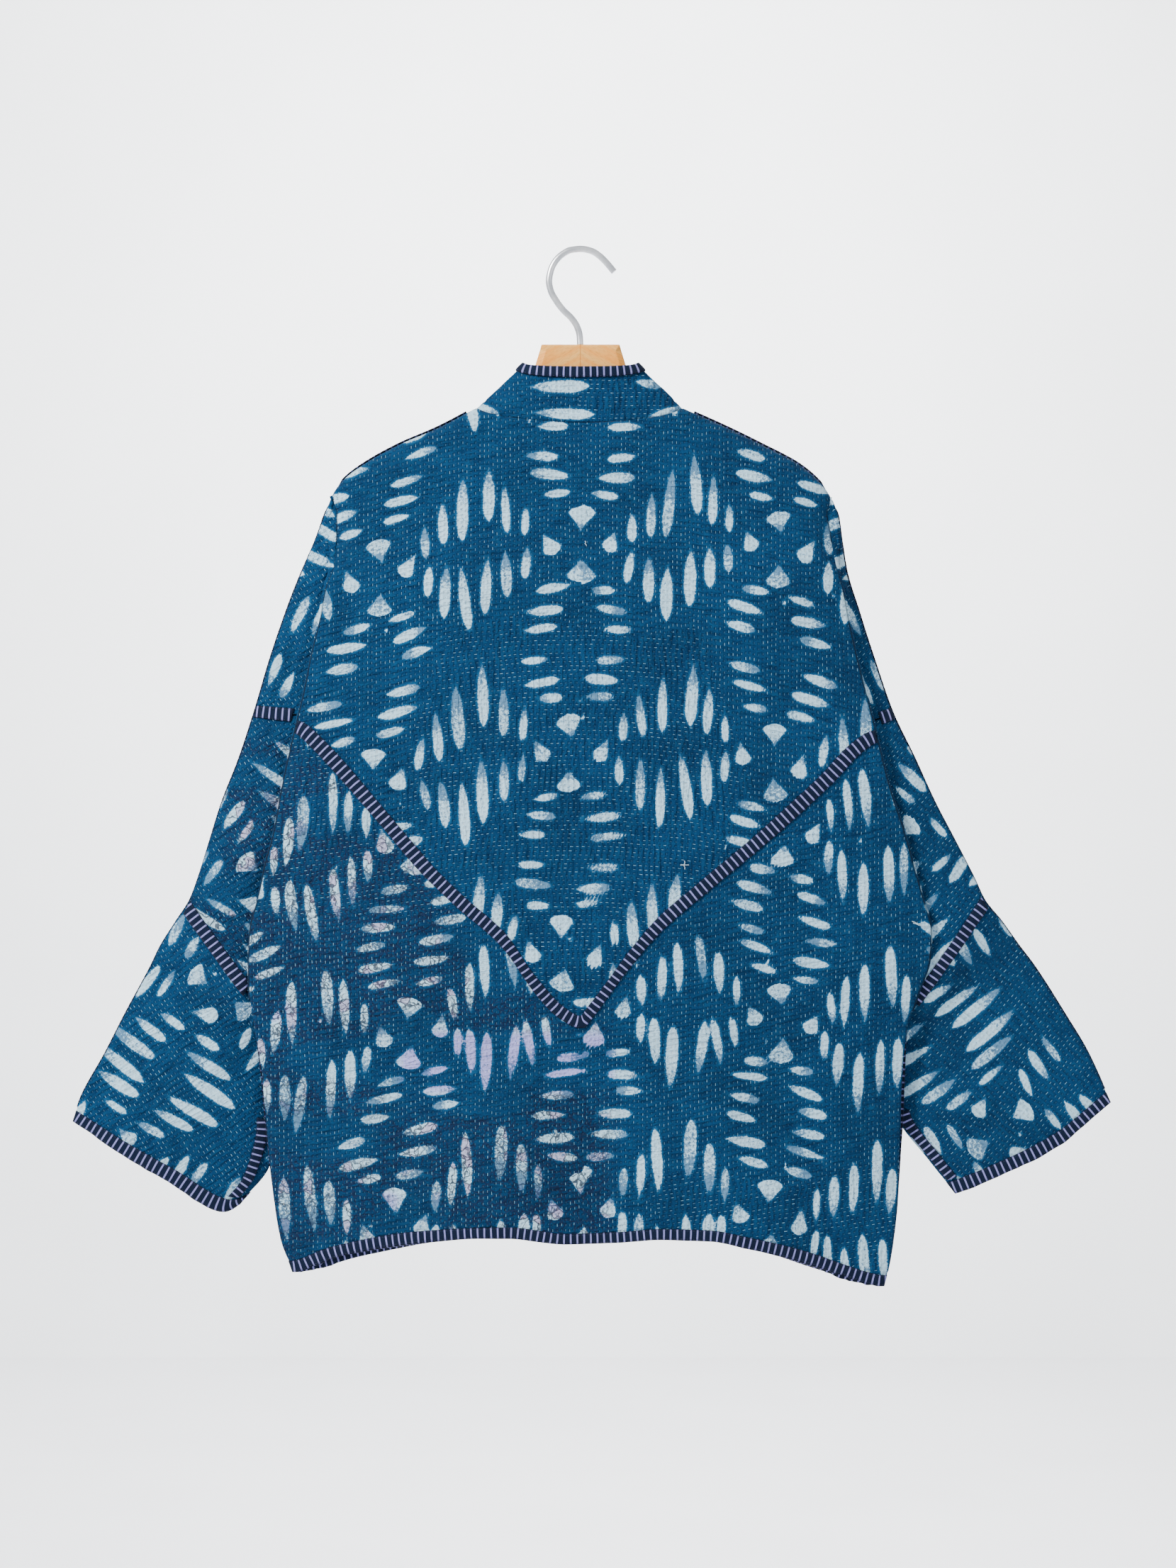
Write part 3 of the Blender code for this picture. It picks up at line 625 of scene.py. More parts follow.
def noise(x, y, seed):
    """Smooth noise from -1 to 1, with a knot at each whole number."""
    column, row = np.floor(x), np.floor(y)

    def knot(i, j):
        value = np.sin(i * 127.1 + j * 311.7 + seed * 74.7) * 43758.5453
        return 2 * (value - np.floor(value)) - 1

    u, v = ease(x - column), ease(y - row)
    upper = lerp(knot(column, row), knot(column + 1, row), u)
    lower = lerp(knot(column, row + 1), knot(column + 1, row + 1), u)
    return lerp(upper, lower, v)


PUCKERS = """
long short height seed
90 26 0.70 1
46 13 0.60 2
22 7  0.36 3
"""


SLEEVE_TURN = 34


def turned(x, y, degrees):
    """Coordinates in axes turned clockwise, as seen in the photo, by an angle."""
    c, s = math.cos(math.radians(degrees)), math.sin(math.radians(degrees))
    return x * c + y * s, y * c - x * s


def relief(place, layer):
    """How far drape and quilting push the outer side of the cloth out at a place, by its layer."""
    x, drop = place[..., 0], -place[..., 2]
    angle = np.radians(SLEEVE_TURN * np.clip((np.abs(x) - 205) / 60, 0, 1) * np.sign(x))
    slant = 9 * np.sin(x / 90) * (1 + 0.5 * np.sin(drop / 70))
    lengthwise = x * np.cos(angle) + (drop + slant) * np.sin(angle)
    crosswise = (drop + slant) * np.cos(angle) - x * np.sin(angle)
    total = np.zeros(x.shape)
    for long, short, height, seed in zip(*table(PUCKERS).values()):
        total = total + height * noise(lengthwise / long, crosswise / short, seed + 20 * (layer + 1))
    return total + folds(-layer * x, drop, "crease")


# The resist print: strokes and leaves round the knots of a lattice, charted

STROKES = """
dx dy length width lying
42.0 17.3 27 7.3 0
57.5 27.8 41 8.8 0
74.0 38.0 51 9.6 0
20.0 40.0 25 7.2 1
26.5 56.0 32 8.0 1
31.5 72.5 28 7.6 1
"""

LATTICES = """
piece x drop pitch_x pitch_drop stretch turn sag tilt
yoke -3 248 168 171 1.00 0 18 -11
lower 8 639 156 164 0.90 0 17 -9
upper_left -299 306 172 171 1.00 -64 0 0
upper_right 292 308 172 171 1.00 65 0 0
middle_left -259 531 172 171 1.00 -56 0 0
middle_right 259 502 172 171 1.00 42 0 0
end_left -303 625 172 171 1.00 -56 0 0
end_right 365 743 172 171 1.00 54 0 0
"""

STROKE_ENDS = 2.0, 4.2
STROKE_WIDTH = 0.94
LEAVES = {0: 25.0, 90: 24.5, 180: 25.0, 270: 20.5}
LEAF_LENGTH = 19.5
LEAF_WIDTH = 20.5
FAR_OUTSIDE = -6.0
MARK_REACH = 34.0


def motifs(name, low, high):
    """Each stroke and leaf of a lattice near a region: centre, direction, size, kind, fading and wear."""
    x0, drop0, pitch_x, pitch_drop, stretch, turn, sag, tilt = named_rows(LATTICES)[name]
    rows = table(STROKES)
    rng = np.random.RandomState(sum(map(ord, name)))
    pitch = pitch_x, pitch_drop
    first = np.floor((np.array(low) - (x0, drop0)) / pitch).astype(int) - 1
    last = np.ceil((np.array(high) - (x0, drop0)) / pitch).astype(int) + 1
    made = []
    for i, j in itertools.product(range(first[0], last[0] + 1), range(first[1], last[1] + 1)):
        at = np.array([x0 + i * pitch_x, drop0 + j * pitch_drop]) + rng.normal(0, 2.0, 2)
        across = 0.0 if turn else at[0] / 169
        at += (0.0 if turn else -7.0 * j, sag * across**2 + tilt * across)
        lean = 0.0 if turn else 0.21 * across + 0.06 * max(1 - abs(across), 0)
        for row, sx, sy in itertools.product(zip(*rows.values()), (-1, 1), (-1, 1)):
            dx, dy, length, width, lying = row
            place = at + np.array([sx * dx * stretch, sy * dy]) + rng.normal(0, 1.1, 2)
            place += 0.5 * lean * dy * (sy < 0), lean * sx * dx
            if lying:
                angle = 15 * across + 180 * rng.randint(2)
            else:
                angle = -90 if name == "lower" else 90
            angle += rng.normal(0, 4)
            grown = length * rng.uniform(0.85, 1.12), width * rng.uniform(0.82, 1.12)
            fade = rng.uniform(-1, 1 if lying else -0.3)
            made.append((*place, angle, *grown, 0, fade, rng.uniform()))
        for way, radius in LEAVES.items():
            out = np.array([math.cos(math.radians(way)), math.sin(math.radians(way))])
            place = at + radius * out + rng.normal(0, 1.2, 2) + (0, lean * radius * out[0])
            upright = way in (90, 270)
            angle = way + 180 if upright else -90 + 20 * out[0]
            grown = LEAF_LENGTH * rng.uniform(0.9, 1.1), LEAF_WIDTH * (1 if upright else 0.68)
            angle += rng.normal(0, 8)
            made.append((*place, angle, *grown, 1, rng.uniform(0.3, 1), rng.uniform(0.2, 1)))
        for _ in range(2):
            place = at + rng.uniform(-80, 80, 2)
            made.append((*place, 0, rng.uniform(2, 5), rng.uniform(2, 4), 0, 0.0, 0.3))
    return made


COLLAR_STROKES = """
x drop angle length width fade wear
-19 115.3 -2 49 10.5 -0.6 0.2
-15 138.3 1 49 9.5 -0.7 0.2
-79 134.5 32 26 6.5 0.5 0.6
58 113.5 12 22 7.0 0.8 0.8
73 137.5 -18 34 6.5 0.9 0.5
88 122.0 -40 16 6.0 0.5 0.5
"""


def collar_marks():
    """The collar's few strokes at the neck, and then a plain row of them down each front."""
    rows = zip(*table(COLLAR_STROKES).values())
    marks = [(*row[:5], 0, *row[5:]) for row in rows]
    rng = np.random.RandomState(7)
    for drop, side in itertools.product(np.arange(205, 830, 38), SIDES):
        place = side * (19 + 8 * math.sin(drop)), drop + rng.normal(0, 4)
        size = rng.normal(0, 8), rng.uniform(22, 34), 9.5
        marks.append((*place, *size, 0, rng.uniform(-1, 1), rng.uniform()))
    return marks


def printed(name, x, drop):
    """Print coordinates, the depth inside the nearest stroke, and how washed out it is."""
    a, b = x, drop
    if name != "collar":
        x0, drop0, _, _, _, turn, _, _ = named_rows(LATTICES)[name]
        a, b = turned(x - x0, drop - drop0, turn)
        a, b = a + x0, b + drop0
    a = a + 2.5 * noise(x / 60, drop / 60, 31)
    b = b + 2.5 * noise(x / 60, drop / 60, 32)
    depth = np.full(a.shape, FAR_OUTSIDE)
    wash = np.zeros(a.shape)
    marks = collar_marks() if name == "collar" else motifs(name, (a.min(), b.min()), (a.max(), b.max()))
    for cx, cy, angle, length, width, kind, fade, wear in marks:
        near = np.nonzero((np.abs(a - cx) < MARK_REACH) & (np.abs(b - cy) < MARK_REACH))
        if not len(near[0]):
            continue
        u, v = turned(a[near] - cx, b[near] - cy, angle)
        t = 2 * u / length
        if kind:
            base = np.sqrt(np.clip(1 - ((-0.45 - t) / 0.6) ** 2, 0, 1))
            taper = np.clip((1 - t) / 1.45, 0, 1) ** 1.15
            d = width / 2 * np.where(t < -0.45, base, taper) - np.abs(v)
        else:
            power = np.where(t < 0, *STROKE_ENDS)
            d = STROKE_WIDTH * width / 2 * (1 - np.minimum(np.abs(t), 1.2) ** power) - np.abs(v)
        d = np.where(np.abs(t) > 1.15, FAR_OUTSIDE, np.maximum(d, FAR_OUTSIDE))
        better = d > depth[near]
        target = tuple(n[better] for n in near)
        depth[target] = d[better]
        worn = np.clip(1.5 * t[better] * fade, 0, 1) * (0.55 + 0.55 * wear)
        wash[target] = np.clip(0.12 + 0.45 * wear**3 + worn, 0, 1)
    return a, b, depth, wash


def kantha(region, x, drop):
    """Stitch coordinates along a row of running stitch and across the rows, and where they change places."""
    if region == "yoke":
        lean = drop - 18 * (x / 169) ** 2
        wide = (150 - 0.35 * np.abs(drop - 450) - np.abs(x + 5)) / 12
        deep = (drop - 318 - 8 * np.sin(x / 30)) / 12
        return lean, x, np.minimum(wide, deep)
    if region == "lower":
        low_right = np.minimum(x - 60 + 12 * np.sin(drop / 17), drop - 780 - 9 * np.sin(x / 22))
        high_left = np.minimum(-120 - x, 560 - drop)
        return drop + 0.15 * x, x, np.maximum(low_right, high_left) / 12
    if region == "collar":
        return drop, x, x / 12
    degrees = {"sleeve_left": 58, "sleeve_right": -50}[region]
    along, across = turned(x, drop, degrees)
    return along, across, np.full(x.shape, -1.0)


LILAC_TOP, LILAC_END = 650, 716
LILAC_LEFT, LILAC_RIGHT = -158, 34


def under_print(x, drop):
    """1 where the older floral cloth shows under the indigo: the back's lower left and the left sleeve."""
    across = ease((40 - x + 12 * noise(x / 40, drop / 40, 41)) / 30)
    lower = across * ease((drop - seam_drop(np.clip(x, -245, 257)) - 6) / 12)
    bare = ease((noise(x / 70, drop / 34, 42) - 0.25) / 0.3)
    band = held(drop, 14, 14, LILAC_TOP, LILAC_END - 4) * ease((x - LILAC_LEFT) / 12)
    sleeve = np.maximum(ease((x + 312) / 20), ease((drop - 535) / 12))
    return np.clip(lower * (1 - 0.9 * bare) * (1 - band), 0, 1) * sleeve


def lilac_print(x, drop):
    """1 where the resist shows a lilac cloth below it."""
    patch = ease((noise(x / 55, drop / 40, 43) - 0.5) / 0.2)
    band = held(drop, 14, 14, LILAC_TOP, LILAC_END) * ease((x - LILAC_LEFT) / 12)
    band = band * ease((LILAC_RIGHT - x) / 14)
    return np.maximum(band, 0.8 * patch * ease((drop - 560) / 30) * ease((30 - x) / 20))


# Meshes

SHORT_NAMES = {"back_yoke": "yoke_cloth", "back_lower": "lower_back_cloth", "collar_band": "collar_cloth"}


def cloth_name(node):
    return SHORT_NAMES.get(node, node + "_cloth")


def half_name(side, layer):
    return f"{WORDS[layer]}_{NAMES[side]}"


def keep(data, name, node=None):
    """A piece of the looks, linked to the scene and attached to the root body. It may stand for a CAD node,
    which it hides.
    """
    piece = bpy.data.objects.new(name, data)
    bpy.context.scene.collection.objects.link(piece)
    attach(piece, "root")
    if node:
        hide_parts(node)
    return piece


def vertex_normals(verts, quads):
    corners = verts[quads]
    face = np.cross(corners[:, 2] - corners[:, 0], corners[:, 3] - corners[:, 1])
    total = np.zeros_like(verts)
    for corner in range(4):
        np.add.at(total, quads[:, corner], face)
    return total / np.maximum(np.linalg.norm(total, axis=1, keepdims=True), 1e-12)


def grid_quads(place, first, way):
    """A grid's faces, turned so that most of them face a world direction."""
    number = np.arange(place.shape[0] * place.shape[1]).reshape(place.shape[:2])
    corners = (number[:-1, :-1], number[:-1, 1:], number[1:, 1:], number[1:, :-1])
    quads = np.stack([n.ravel() for n in corners], axis=1)
    p = place.reshape(-1, 3)[quads]
    area = np.cross(p[:, 2] - p[:, 0], p[:, 3] - p[:, 1]).sum(axis=0)
    return first + (quads if area @ np.array(way) > 0 else quads[:, ::-1])


def woven(node, grids, look):
    """One closed cloth piece from grids that share their edges. Each grid has the inner side's points, how
    far its outer side lies from them, its layer, and values for the material."""
    verts, outs, quads, values = [], [], [], {}
    for place, out, layer, given in grids:
        quads.append(grid_quads(place, sum(len(v) for v in verts), FACING[layer]))
        verts.append(place.reshape(-1, 3))
        outs.append(np.broadcast_to(out, place.shape[:2]).ravel())
        for key, value in given.items():
            values.setdefault(key, []).append(value.reshape(-1, *value.shape[2:]))
    verts, outs, quads = (np.concatenate(parts) for parts in (verts, outs, quads))
    _, first, index = np.unique(np.round(verts / WELD), axis=0, return_index=True, return_inverse=True)
    quads = index.reshape(-1)[quads]
    verts = verts[first]
    verts = verts + vertex_normals(verts, quads) * outs[first][:, None]
    faces = [tuple(dict.fromkeys(quad)) for quad in quads.tolist()]
    mesh = bpy.data.meshes.new(cloth_name(node))
    mesh.from_pydata((verts * MM).tolist(), [], [face for face in faces if len(face) > 2])
    for key, parts in values.items():
        value = np.concatenate(parts)[first].astype(np.float32)
        kind, field = ("FLOAT_VECTOR", "vector") if value.ndim > 1 else ("FLOAT", "value")
        mesh.attributes.new(key, kind, "POINT").data.foreach_set(field, value.ravel())
    mesh.materials.append(look)
    mesh.shade_smooth()
    taped = "tape" in node
    piece = keep(mesh, cloth_name(node), node)
    wall = piece.modifiers.new("wall", "SOLIDIFY")
    wall.thickness = (TAPE * TAPE_SHELL if taped else WALL * SHELL) * MM
    wall.offset = -1


def spread(count, start=0.0, end=1.0, crowd=0.25):
    """Shares that crowd a little towards the end."""
    even = np.linspace(0, 1, count)
    return start + (end - start) * ((1 - crowd) * even + crowd * np.sin(even * math.pi / 2))


def cloth_values(name, region, place, floral=False):
    """What the printed cloth's material needs at each point."""
    x, drop = place[..., 0], -place[..., 2]
    a, b, depth, wash = printed(name, x, drop)
    flat = np.zeros_like(a)
    return {
        "print_depth": depth,
        "print_wash": wash,
        "cloth_place": np.stack([a, b, flat], axis=-1),
        "stitch_place": np.stack(kantha(region, x, drop), axis=-1),
        "floral": under_print(x, drop) if floral else flat,
        "lilac": lilac_print(x, drop) if name == "lower" else flat,
    }


def body_hold(c):
    """Where creases may shape the back: not in the armhole fold or at the top line."""
    return np.where(c <= 1, ease((1 - c) / 0.06), np.where(c <= 2, 0.0, held(c, 0.2, 0.14, 2, 3)))


def body_grid(side, layer, c, place, hold, name):
    """A grid with the body's print and stitches up to c = 1, and the sleeve's beyond it."""
    floral = layer == BACK and name == "lower"
    body = cloth_values(name, name, place, floral)
    part = "upper_" if name == "yoke" else "middle_"
    sleeve = cloth_values(part + NAMES[side], "sleeve_" + NAMES[side], place, floral)
    values = {}
    for key, value in body.items():
        inner = c <= 1 if value.ndim == 2 else (c <= 1)[..., None]
        values[key] = np.where(inner, value, sleeve[key])
    return place, WALL + hold * relief(place, layer), layer, values


def back_grid(side, c, drop, name):
    return body_grid(side, BACK, c, back(side, c, drop), body_hold(c), name)


BODY_FINE = 100
TUCK_FINE = 22
SLEEVE_FINE = 24
BACK_FINE = 170


def back_panels(look):
    """The yoke and the lower back, each with its part of both sleeves."""
    yoke, lower = [], []
    for side in SIDES:
        share = spread(BODY_FINE)
        arm_c = np.concatenate([np.linspace(1, 2, TUCK_FINE), 2 + spread(SLEEVE_FINE)[1:]])
        rows = np.linspace(0, 1, BACK_FINE)
        rows[np.argmin(np.abs(rows - FAN_SHARE))] = FAN_SHARE
        v, c = crossed(rows, share)
        yoke.append(back_grid(side, c, lerp(neck_drop(c), yoke_end(side, c) - SEAM, v), "yoke"))
        v, c = crossed(rows[rows >= FAN_SHARE], arm_c)
        yoke.append(back_grid(side, c, lerp(NECK_DROP, SEAM_EDGE[side] - SEAM, v), "yoke"))
        rows = np.linspace(0, 1, BACK_FINE)
        rows[np.argmin(np.abs(rows - APEX_SHARE))] = APEX_SHARE
        v, c = crossed(rows, share)
        lower.append(back_grid(side, c, lerp(yoke_end(side, c) + SEAM, hem_end(side, c), v), "lower"))
        v, c = crossed(rows[rows <= APEX_SHARE], arm_c)
        lower.append(back_grid(side, c, lerp(SEAM_EDGE[side] + SEAM, HEM_EDGE[side], v), "lower"))
    woven("back_yoke", yoke, look)
    woven("back_lower", lower, look)


FRONT_FINE = 62
FRONT_TOP_FINE = 26
FRONT_ARM_FINE = 150
FRONT_BELOW_FINE = 76
FRONT_SLEEVE_FINE = 46


def front_grid(side, c, drop):
    hold = np.where(c <= 1, held(c, 0.05, 0.05), held(c, 0.2, 0.2, 1, 3))
    return body_grid(side, FRONT, c, front(side, c, drop), hold, "lower")


def front_panels(look):
    for side in SIDES:
        share = spread(FRONT_FINE)
        top = np.linspace(NECK_DROP + 1.0, FAN[side], FRONT_TOP_FINE)
        middle = np.linspace(FAN[side], APEX[side], FRONT_ARM_FINE)[1:]
        drop, c = crossed(np.concatenate([top, middle]), share)
        above = front_grid(side, c, drop)
        v, c = crossed(np.linspace(0, 1, FRONT_BELOW_FINE), share)
        below = front_grid(side, c, lerp(APEX[side], front_hem(side, c), v))
        drop, c = crossed(np.concatenate([[FAN[side]], middle]), 1 + 2 * spread(FRONT_SLEEVE_FINE))
        woven("front_" + NAMES[side], [above, below, front_grid(side, c, drop)], look)


END_FINE = 78
END_START = 0.004
BEHIND = 0.09


def sleeve_ends(look):
    for side, layer in itertools.product(SIDES, LAYERS):
        r, share = crossed(np.linspace(END_START, 1, END_FINE), np.linspace(0, 1, END_FINE))
        share = share - BEHIND * (1 - share) * (1 - ease(r / 0.34))
        place = sleeve_end(side, layer, share, r)
        out = WALL + held(share, 0.1, 0.1) * relief(place, layer)
        values = cloth_values("end_" + NAMES[side], "sleeve_" + NAMES[side], place)
        woven("sleeve_end_" + half_name(side, layer), [(place, out, layer, values)], look)


# Collar and front band

COLLAR_EDGE_DROP = 100.2, 96.6
COLLAR_HALF_WIDTH = 47.5
COLLAR_DEPTH = 10.5
SHOULDER_BLEND = 14
COLLAR_FINE = 22
NECK_FINE = 70
BAND_FINE = 270
SEAM_GROOVE = 0.7


def band_ends(side, station):
    """The seam and free edge of the band: station is 0 at the nape, 1 at the shoulder seam, 2 at the hem."""
    station = np.asarray(station, float)
    neck = np.clip(station, 0, 1)
    seam = back(side, neck, neck_drop(neck))
    seam[..., 1] *= 1 - neck**8
    turn = neck * math.pi / 2
    free_z = -lerp(*COLLAR_EDGE_DROP, neck**2)
    free = points(side * COLLAR_HALF_WIDTH * np.sin(turn), -COLLAR_DEPTH * np.cos(turn), free_z)
    drop = lerp(NECK_DROP, BAND_BOTTOM, np.clip(station - 1, 0, 1))
    low = front(side, 0, drop)
    low[..., 0] = side * (np.abs(low[..., 0]) - 0.3)
    low[..., 1] *= ease((drop - NECK_DROP) / SHOULDER_BLEND)
    curved = np.minimum(drop, BANDS["seam_drop"][-1])
    x, y, down = (smooth(BANDS["seam_drop"], BANDS[n], curved) for n in ("free_x", "free_y", "free_drop"))
    straight = drop >= BANDS["seam_drop"][-1]
    y = np.where(straight, low[..., 1] + 0.6, y)
    down = np.where(straight, drop, down)
    edge = points(side * x, y, -down)
    over = (station > 1)[..., None]
    return np.where(over, low, seam), np.where(over, edge, free)


def band(side, station, share):
    seam, free = band_ends(side, station)
    return lerp(seam, free, np.asarray(share, float)[..., None])


def stations(neck_count, front_count):
    share = np.linspace(0, 1, front_count)[1:]
    return np.concatenate([np.linspace(0, 1, neck_count), 1 + 0.45 * share + 0.55 * share**1.6])


def collar(look):
    grids = []
    for side in SIDES:
        share, station = crossed(np.linspace(0, 1, COLLAR_FINE), stations(NECK_FINE, BAND_FINE))
        place = band(side, station, share)
        wave = 0.35 * noise(station * 60, share * 3, 51) + 0.35 * noise(station * 140, share * 5, 52)
        wave = wave - SEAM_GROOVE * np.exp(-(((share - 0.19) / 0.02) ** 2))
        out = WALL + held(share, 0.2, 0.2) * wave
        grids.append((place, out, FRONT, cloth_values("collar", "collar", place)))
    woven("collar_band", grids, look)


# Tapes

STEP = 2.6
TAPE_FINE = 9
CROWN = 0.45
FOLD_ROUND = 0.1
YOKE_TAPE_FINE = 150
SHOULDER_FINE = 70
TOP_FINE = 110
TOP_END_FINE = 90
SIDE_FINE = 90
UNDERARM_FINE = 46
HEM_FINE = 110
FRONT_HEM_FINE = 100
CUFF_FINE = 80
BAND_TAPE_FINE = 46, 300
BAND_TAPE_WIDTH = 7.5
CUFF_TAPE = 0.045
TAPE_END = 0.945
NEAR_END = 0.985
TOP_TAPE_ROOM = 11
EDGE_TAPE = 8.5


def unit(vectors):
    return vectors / np.maximum(np.linalg.norm(vectors, axis=-1, keepdims=True), 1e-9)


def outward(surface, u, v, layer, du, dv):
    """The surface's unit normals on the side that its layer faces."""
    across = surface(u + du, v) - surface(u - du, v)
    down = surface(u, v + dv) - surface(u, v - dv)
    normal = unit(np.cross(across, down))
    return normal * np.sign(normal @ np.array(FACING[layer]))[..., None]


def ribbon(name, strips, layer, look):
    """A tape of its CAD node's name. Each strip has rows of points across it, on the inner side, and how
    much it follows the cloth's relief below it."""
    grids = []
    for rows, hold in strips:
        rows = np.stack(rows)
        span = np.linalg.norm(np.diff(rows, axis=0), axis=-1)
        reach = np.concatenate([np.zeros((1, span.shape[1])), np.cumsum(span, axis=0)])
        at = np.linspace(0, 1, TAPE_FINE) * (len(rows) - 1)
        low = np.clip(at.astype(int), 0, len(rows) - 2)
        place = lerp(rows[low], rows[low + 1], (at - low)[:, None, None])
        across = lerp(reach[low], reach[low + 1], (at - low)[:, None])
        middle = rows[1]
        run = np.concatenate([[0], np.cumsum(np.linalg.norm(np.diff(middle, axis=0), axis=-1))])
        run = run + ((place - middle) * unit(np.gradient(middle, axis=0))).sum(axis=-1)
        half = across[-1] / 2
        crown = TAPE - CROWN * (np.abs(across - half) / half) ** 4
        out = crown + np.broadcast_to(hold, place.shape[:2]) * relief(place, layer)
        # The distance to the tape's edges and to its fold: the tape material places its stitching by it and
        # paints shade there.
        edge = half - np.abs(across - half)
        if len(rows) > 3:
            edge = np.minimum(edge, np.abs(across - reach[2]) + FOLD_ROUND)
        values = {"tape_place": np.stack([run, across, np.zeros(run.shape)], axis=-1), "tape_edge": edge}
        grids.append((place, out, layer, values))
    woven(name, grids, look)


def count(length):
    return int(length / STEP) + 2


def meet(strips):
    """Both halves of a tape end in the same points at the centre."""
    for left, right in zip(*(rows for rows, _ in strips)):
        left[0] = right[0] = (left[0] + right[0]) / 2
        left[0, 0] = right[0, 0] = 0.0


def yoke_tape(look):
    strips = []
    for side in SIDES:
        q = np.linspace(0, 1, YOKE_TAPE_FINE)
        ends = yoke_end(side, q)
        slope = np.gradient(ends, side * q * edge_x(side, ends))
        half = TAPE_HALF * np.sqrt(1 + np.minimum(slope**2, 1.3))
        rows = []
        for away in (-half, 0, half):
            normal = outward(partial(back, side), np.minimum(q, NEAR_END), ends + away, BACK, 0.01, 2.0)
            rows.append(back(side, q, ends + away) + normal * LIFT)
        strips.append((rows, body_hold(q)))
    meet(strips)
    ribbon("yoke_tape", strips, BACK, look)


def clear_of_body(side, drop, room):
    """The share along a sleeve row where it comes out from behind the body's edge."""
    start = abs(tuck(side, drop, 1.0)[..., 0])
    end = top_x(side, top_drop(side, drop))
    return (edge_x(side, drop) + NOSE + room - start) / (end - start)


def tape_shares(side, layer, seam, room):
    """Shares of a sleeve seam where its tape runs: from the body's edge to the top line or the top tape."""
    start, end = (sleeve_row(side, layer, share, seam) for share in (0.0, 1.0))
    width = np.linalg.norm(end - start)
    last = NEAR_END if layer == BACK else 1 - TOP_TAPE_ROOM / width
    return np.linspace(float(clear_of_body(side, seam, room)), last, count(width))


def sleeve_tapes(look):
    """The upper one over the yoke's seam in the sleeve, the lower one over the sleeve end's seam."""
    for side, layer in itertools.product(SIDES, LAYERS):
        sleeve, end = partial(sleeve_row, side, layer), partial(sleeve_end, side, layer)
        seam, apex = SEAM_EDGE[side], APEX[side]
        share = tape_shares(side, layer, seam, 2.5)
        rows = []
        for away in (-5.5, 0, 6.5):
            normal = outward(sleeve, np.minimum(share, 0.96), seam + away, layer, 0.02, 2.0)
            rows.append(sleeve(share, seam + away) + normal * LIFT)
        strip = rows, held(share, 0.2, 0.14)
        ribbon("upper_sleeve_tape_" + half_name(side, layer), [strip], layer, look)
        share = tape_shares(side, layer, apex, 2.0)
        inside = np.clip(share, 0.04, 0.96)
        above = outward(sleeve, inside, apex - 5, layer, 0.02, 2.0)
        under = outward(end, inside, 0.03, layer, 0.02, 0.01)
        rows = [
            sleeve(share, apex - 6.5) + above * LIFT,
            sleeve(share, apex) + (above + under) / 2 * (LIFT + 0.1),
            end(share, 0.03) + under * LIFT,
        ]
        strip = rows, held(share, 0.2, 0.14)
        ribbon("lower_sleeve_tape_" + half_name(side, layer), [strip], layer, look)


def edge_rows(edge, inner, beyond, raised=0.0, settle=0.0):
    """Rows of a tape along an edge of the front layer: inner side, edge, and a lip that shows past it."""
    out = unit(edge - inner)
    forward = np.array(FACING[FRONT])
    normal = unit(forward - out * (out @ forward)[:, None])
    lift = (LIFT - settle + raised * np.ones(len(edge)))[:, None]
    lip = edge + normal * (lift + 0.5) + out * beyond
    return [inner + normal * (lift + 0.9), edge + normal * (lift + 0.7), lip]


def front_at(side, x, drop):
    """The front's inner surface at a distance x from the centre plane."""
    inner = np.abs(front(side, 0.0, drop)[..., 0])
    outer = np.abs(front(side, 1.0, drop)[..., 0])
    return front(side, (x - inner) / (outer - inner), drop)


def top_tapes(look):
    """Along the shoulder, then the top of the sleeve, then the top of the sleeve end."""
    for side in SIDES:
        drop = lerp(NECK_DROP + 1.0, FAN[side], np.linspace(0.04, 5 / 6, SHOULDER_FINE))
        run = top_x(side, drop + 2) - top_x(side, drop - 2)
        length = np.hypot(run, 4)
        edge = [front(side, 1.0, drop)]
        inner = [front_at(side, top_x(side, drop) - 36 / length, drop + 9 * run / length)]
        raised = np.concatenate([np.full(SHOULDER_FINE, 1.2), np.zeros(TOP_FINE + TOP_END_FINE)])
        drop = np.linspace(FAN[side] + 14, APEX[side], TOP_FINE)
        start, end = (sleeve_row(side, FRONT, s, drop) for s in (0.0, 1.0))
        width = np.linalg.norm(end - start, axis=-1)
        edge.append(end)
        inner.append(sleeve_row(side, FRONT, 1 - np.minimum(EDGE_TAPE, 0.6 * width) / width, drop))
        r = np.linspace(0.02, TAPE_END, TOP_END_FINE)
        start, end = (sleeve_end(side, FRONT, s, r) for s in (0.0, 1.0))
        edge.append(end)
        inner.append(sleeve_end(side, FRONT, 1 - EDGE_TAPE / np.linalg.norm(end - start, axis=-1), r))
        rows = edge_rows(np.concatenate(edge), np.concatenate(inner), 1.3, raised)
        ribbon("top_tape_" + NAMES[side], [(rows, 0.0)], FRONT, look)


def side_tapes(look):
    for side in SIDES:
        drop = np.linspace(APEX[side] + 14, HEM_EDGE[side] - 10, SIDE_FINE)
        inner = front_at(side, edge_x(side, drop) - EDGE_TAPE, drop)
        lip = lerp(SIDE_LIP[side], 1.0, ease((drop - 710) / 90))[:, None]
        rows = edge_rows(front(side, 1.0, drop), inner, lip, 0.0, SIDE_SETTLE)
        ribbon("side_tape_" + NAMES[side], [(rows, 0.0)], FRONT, look)


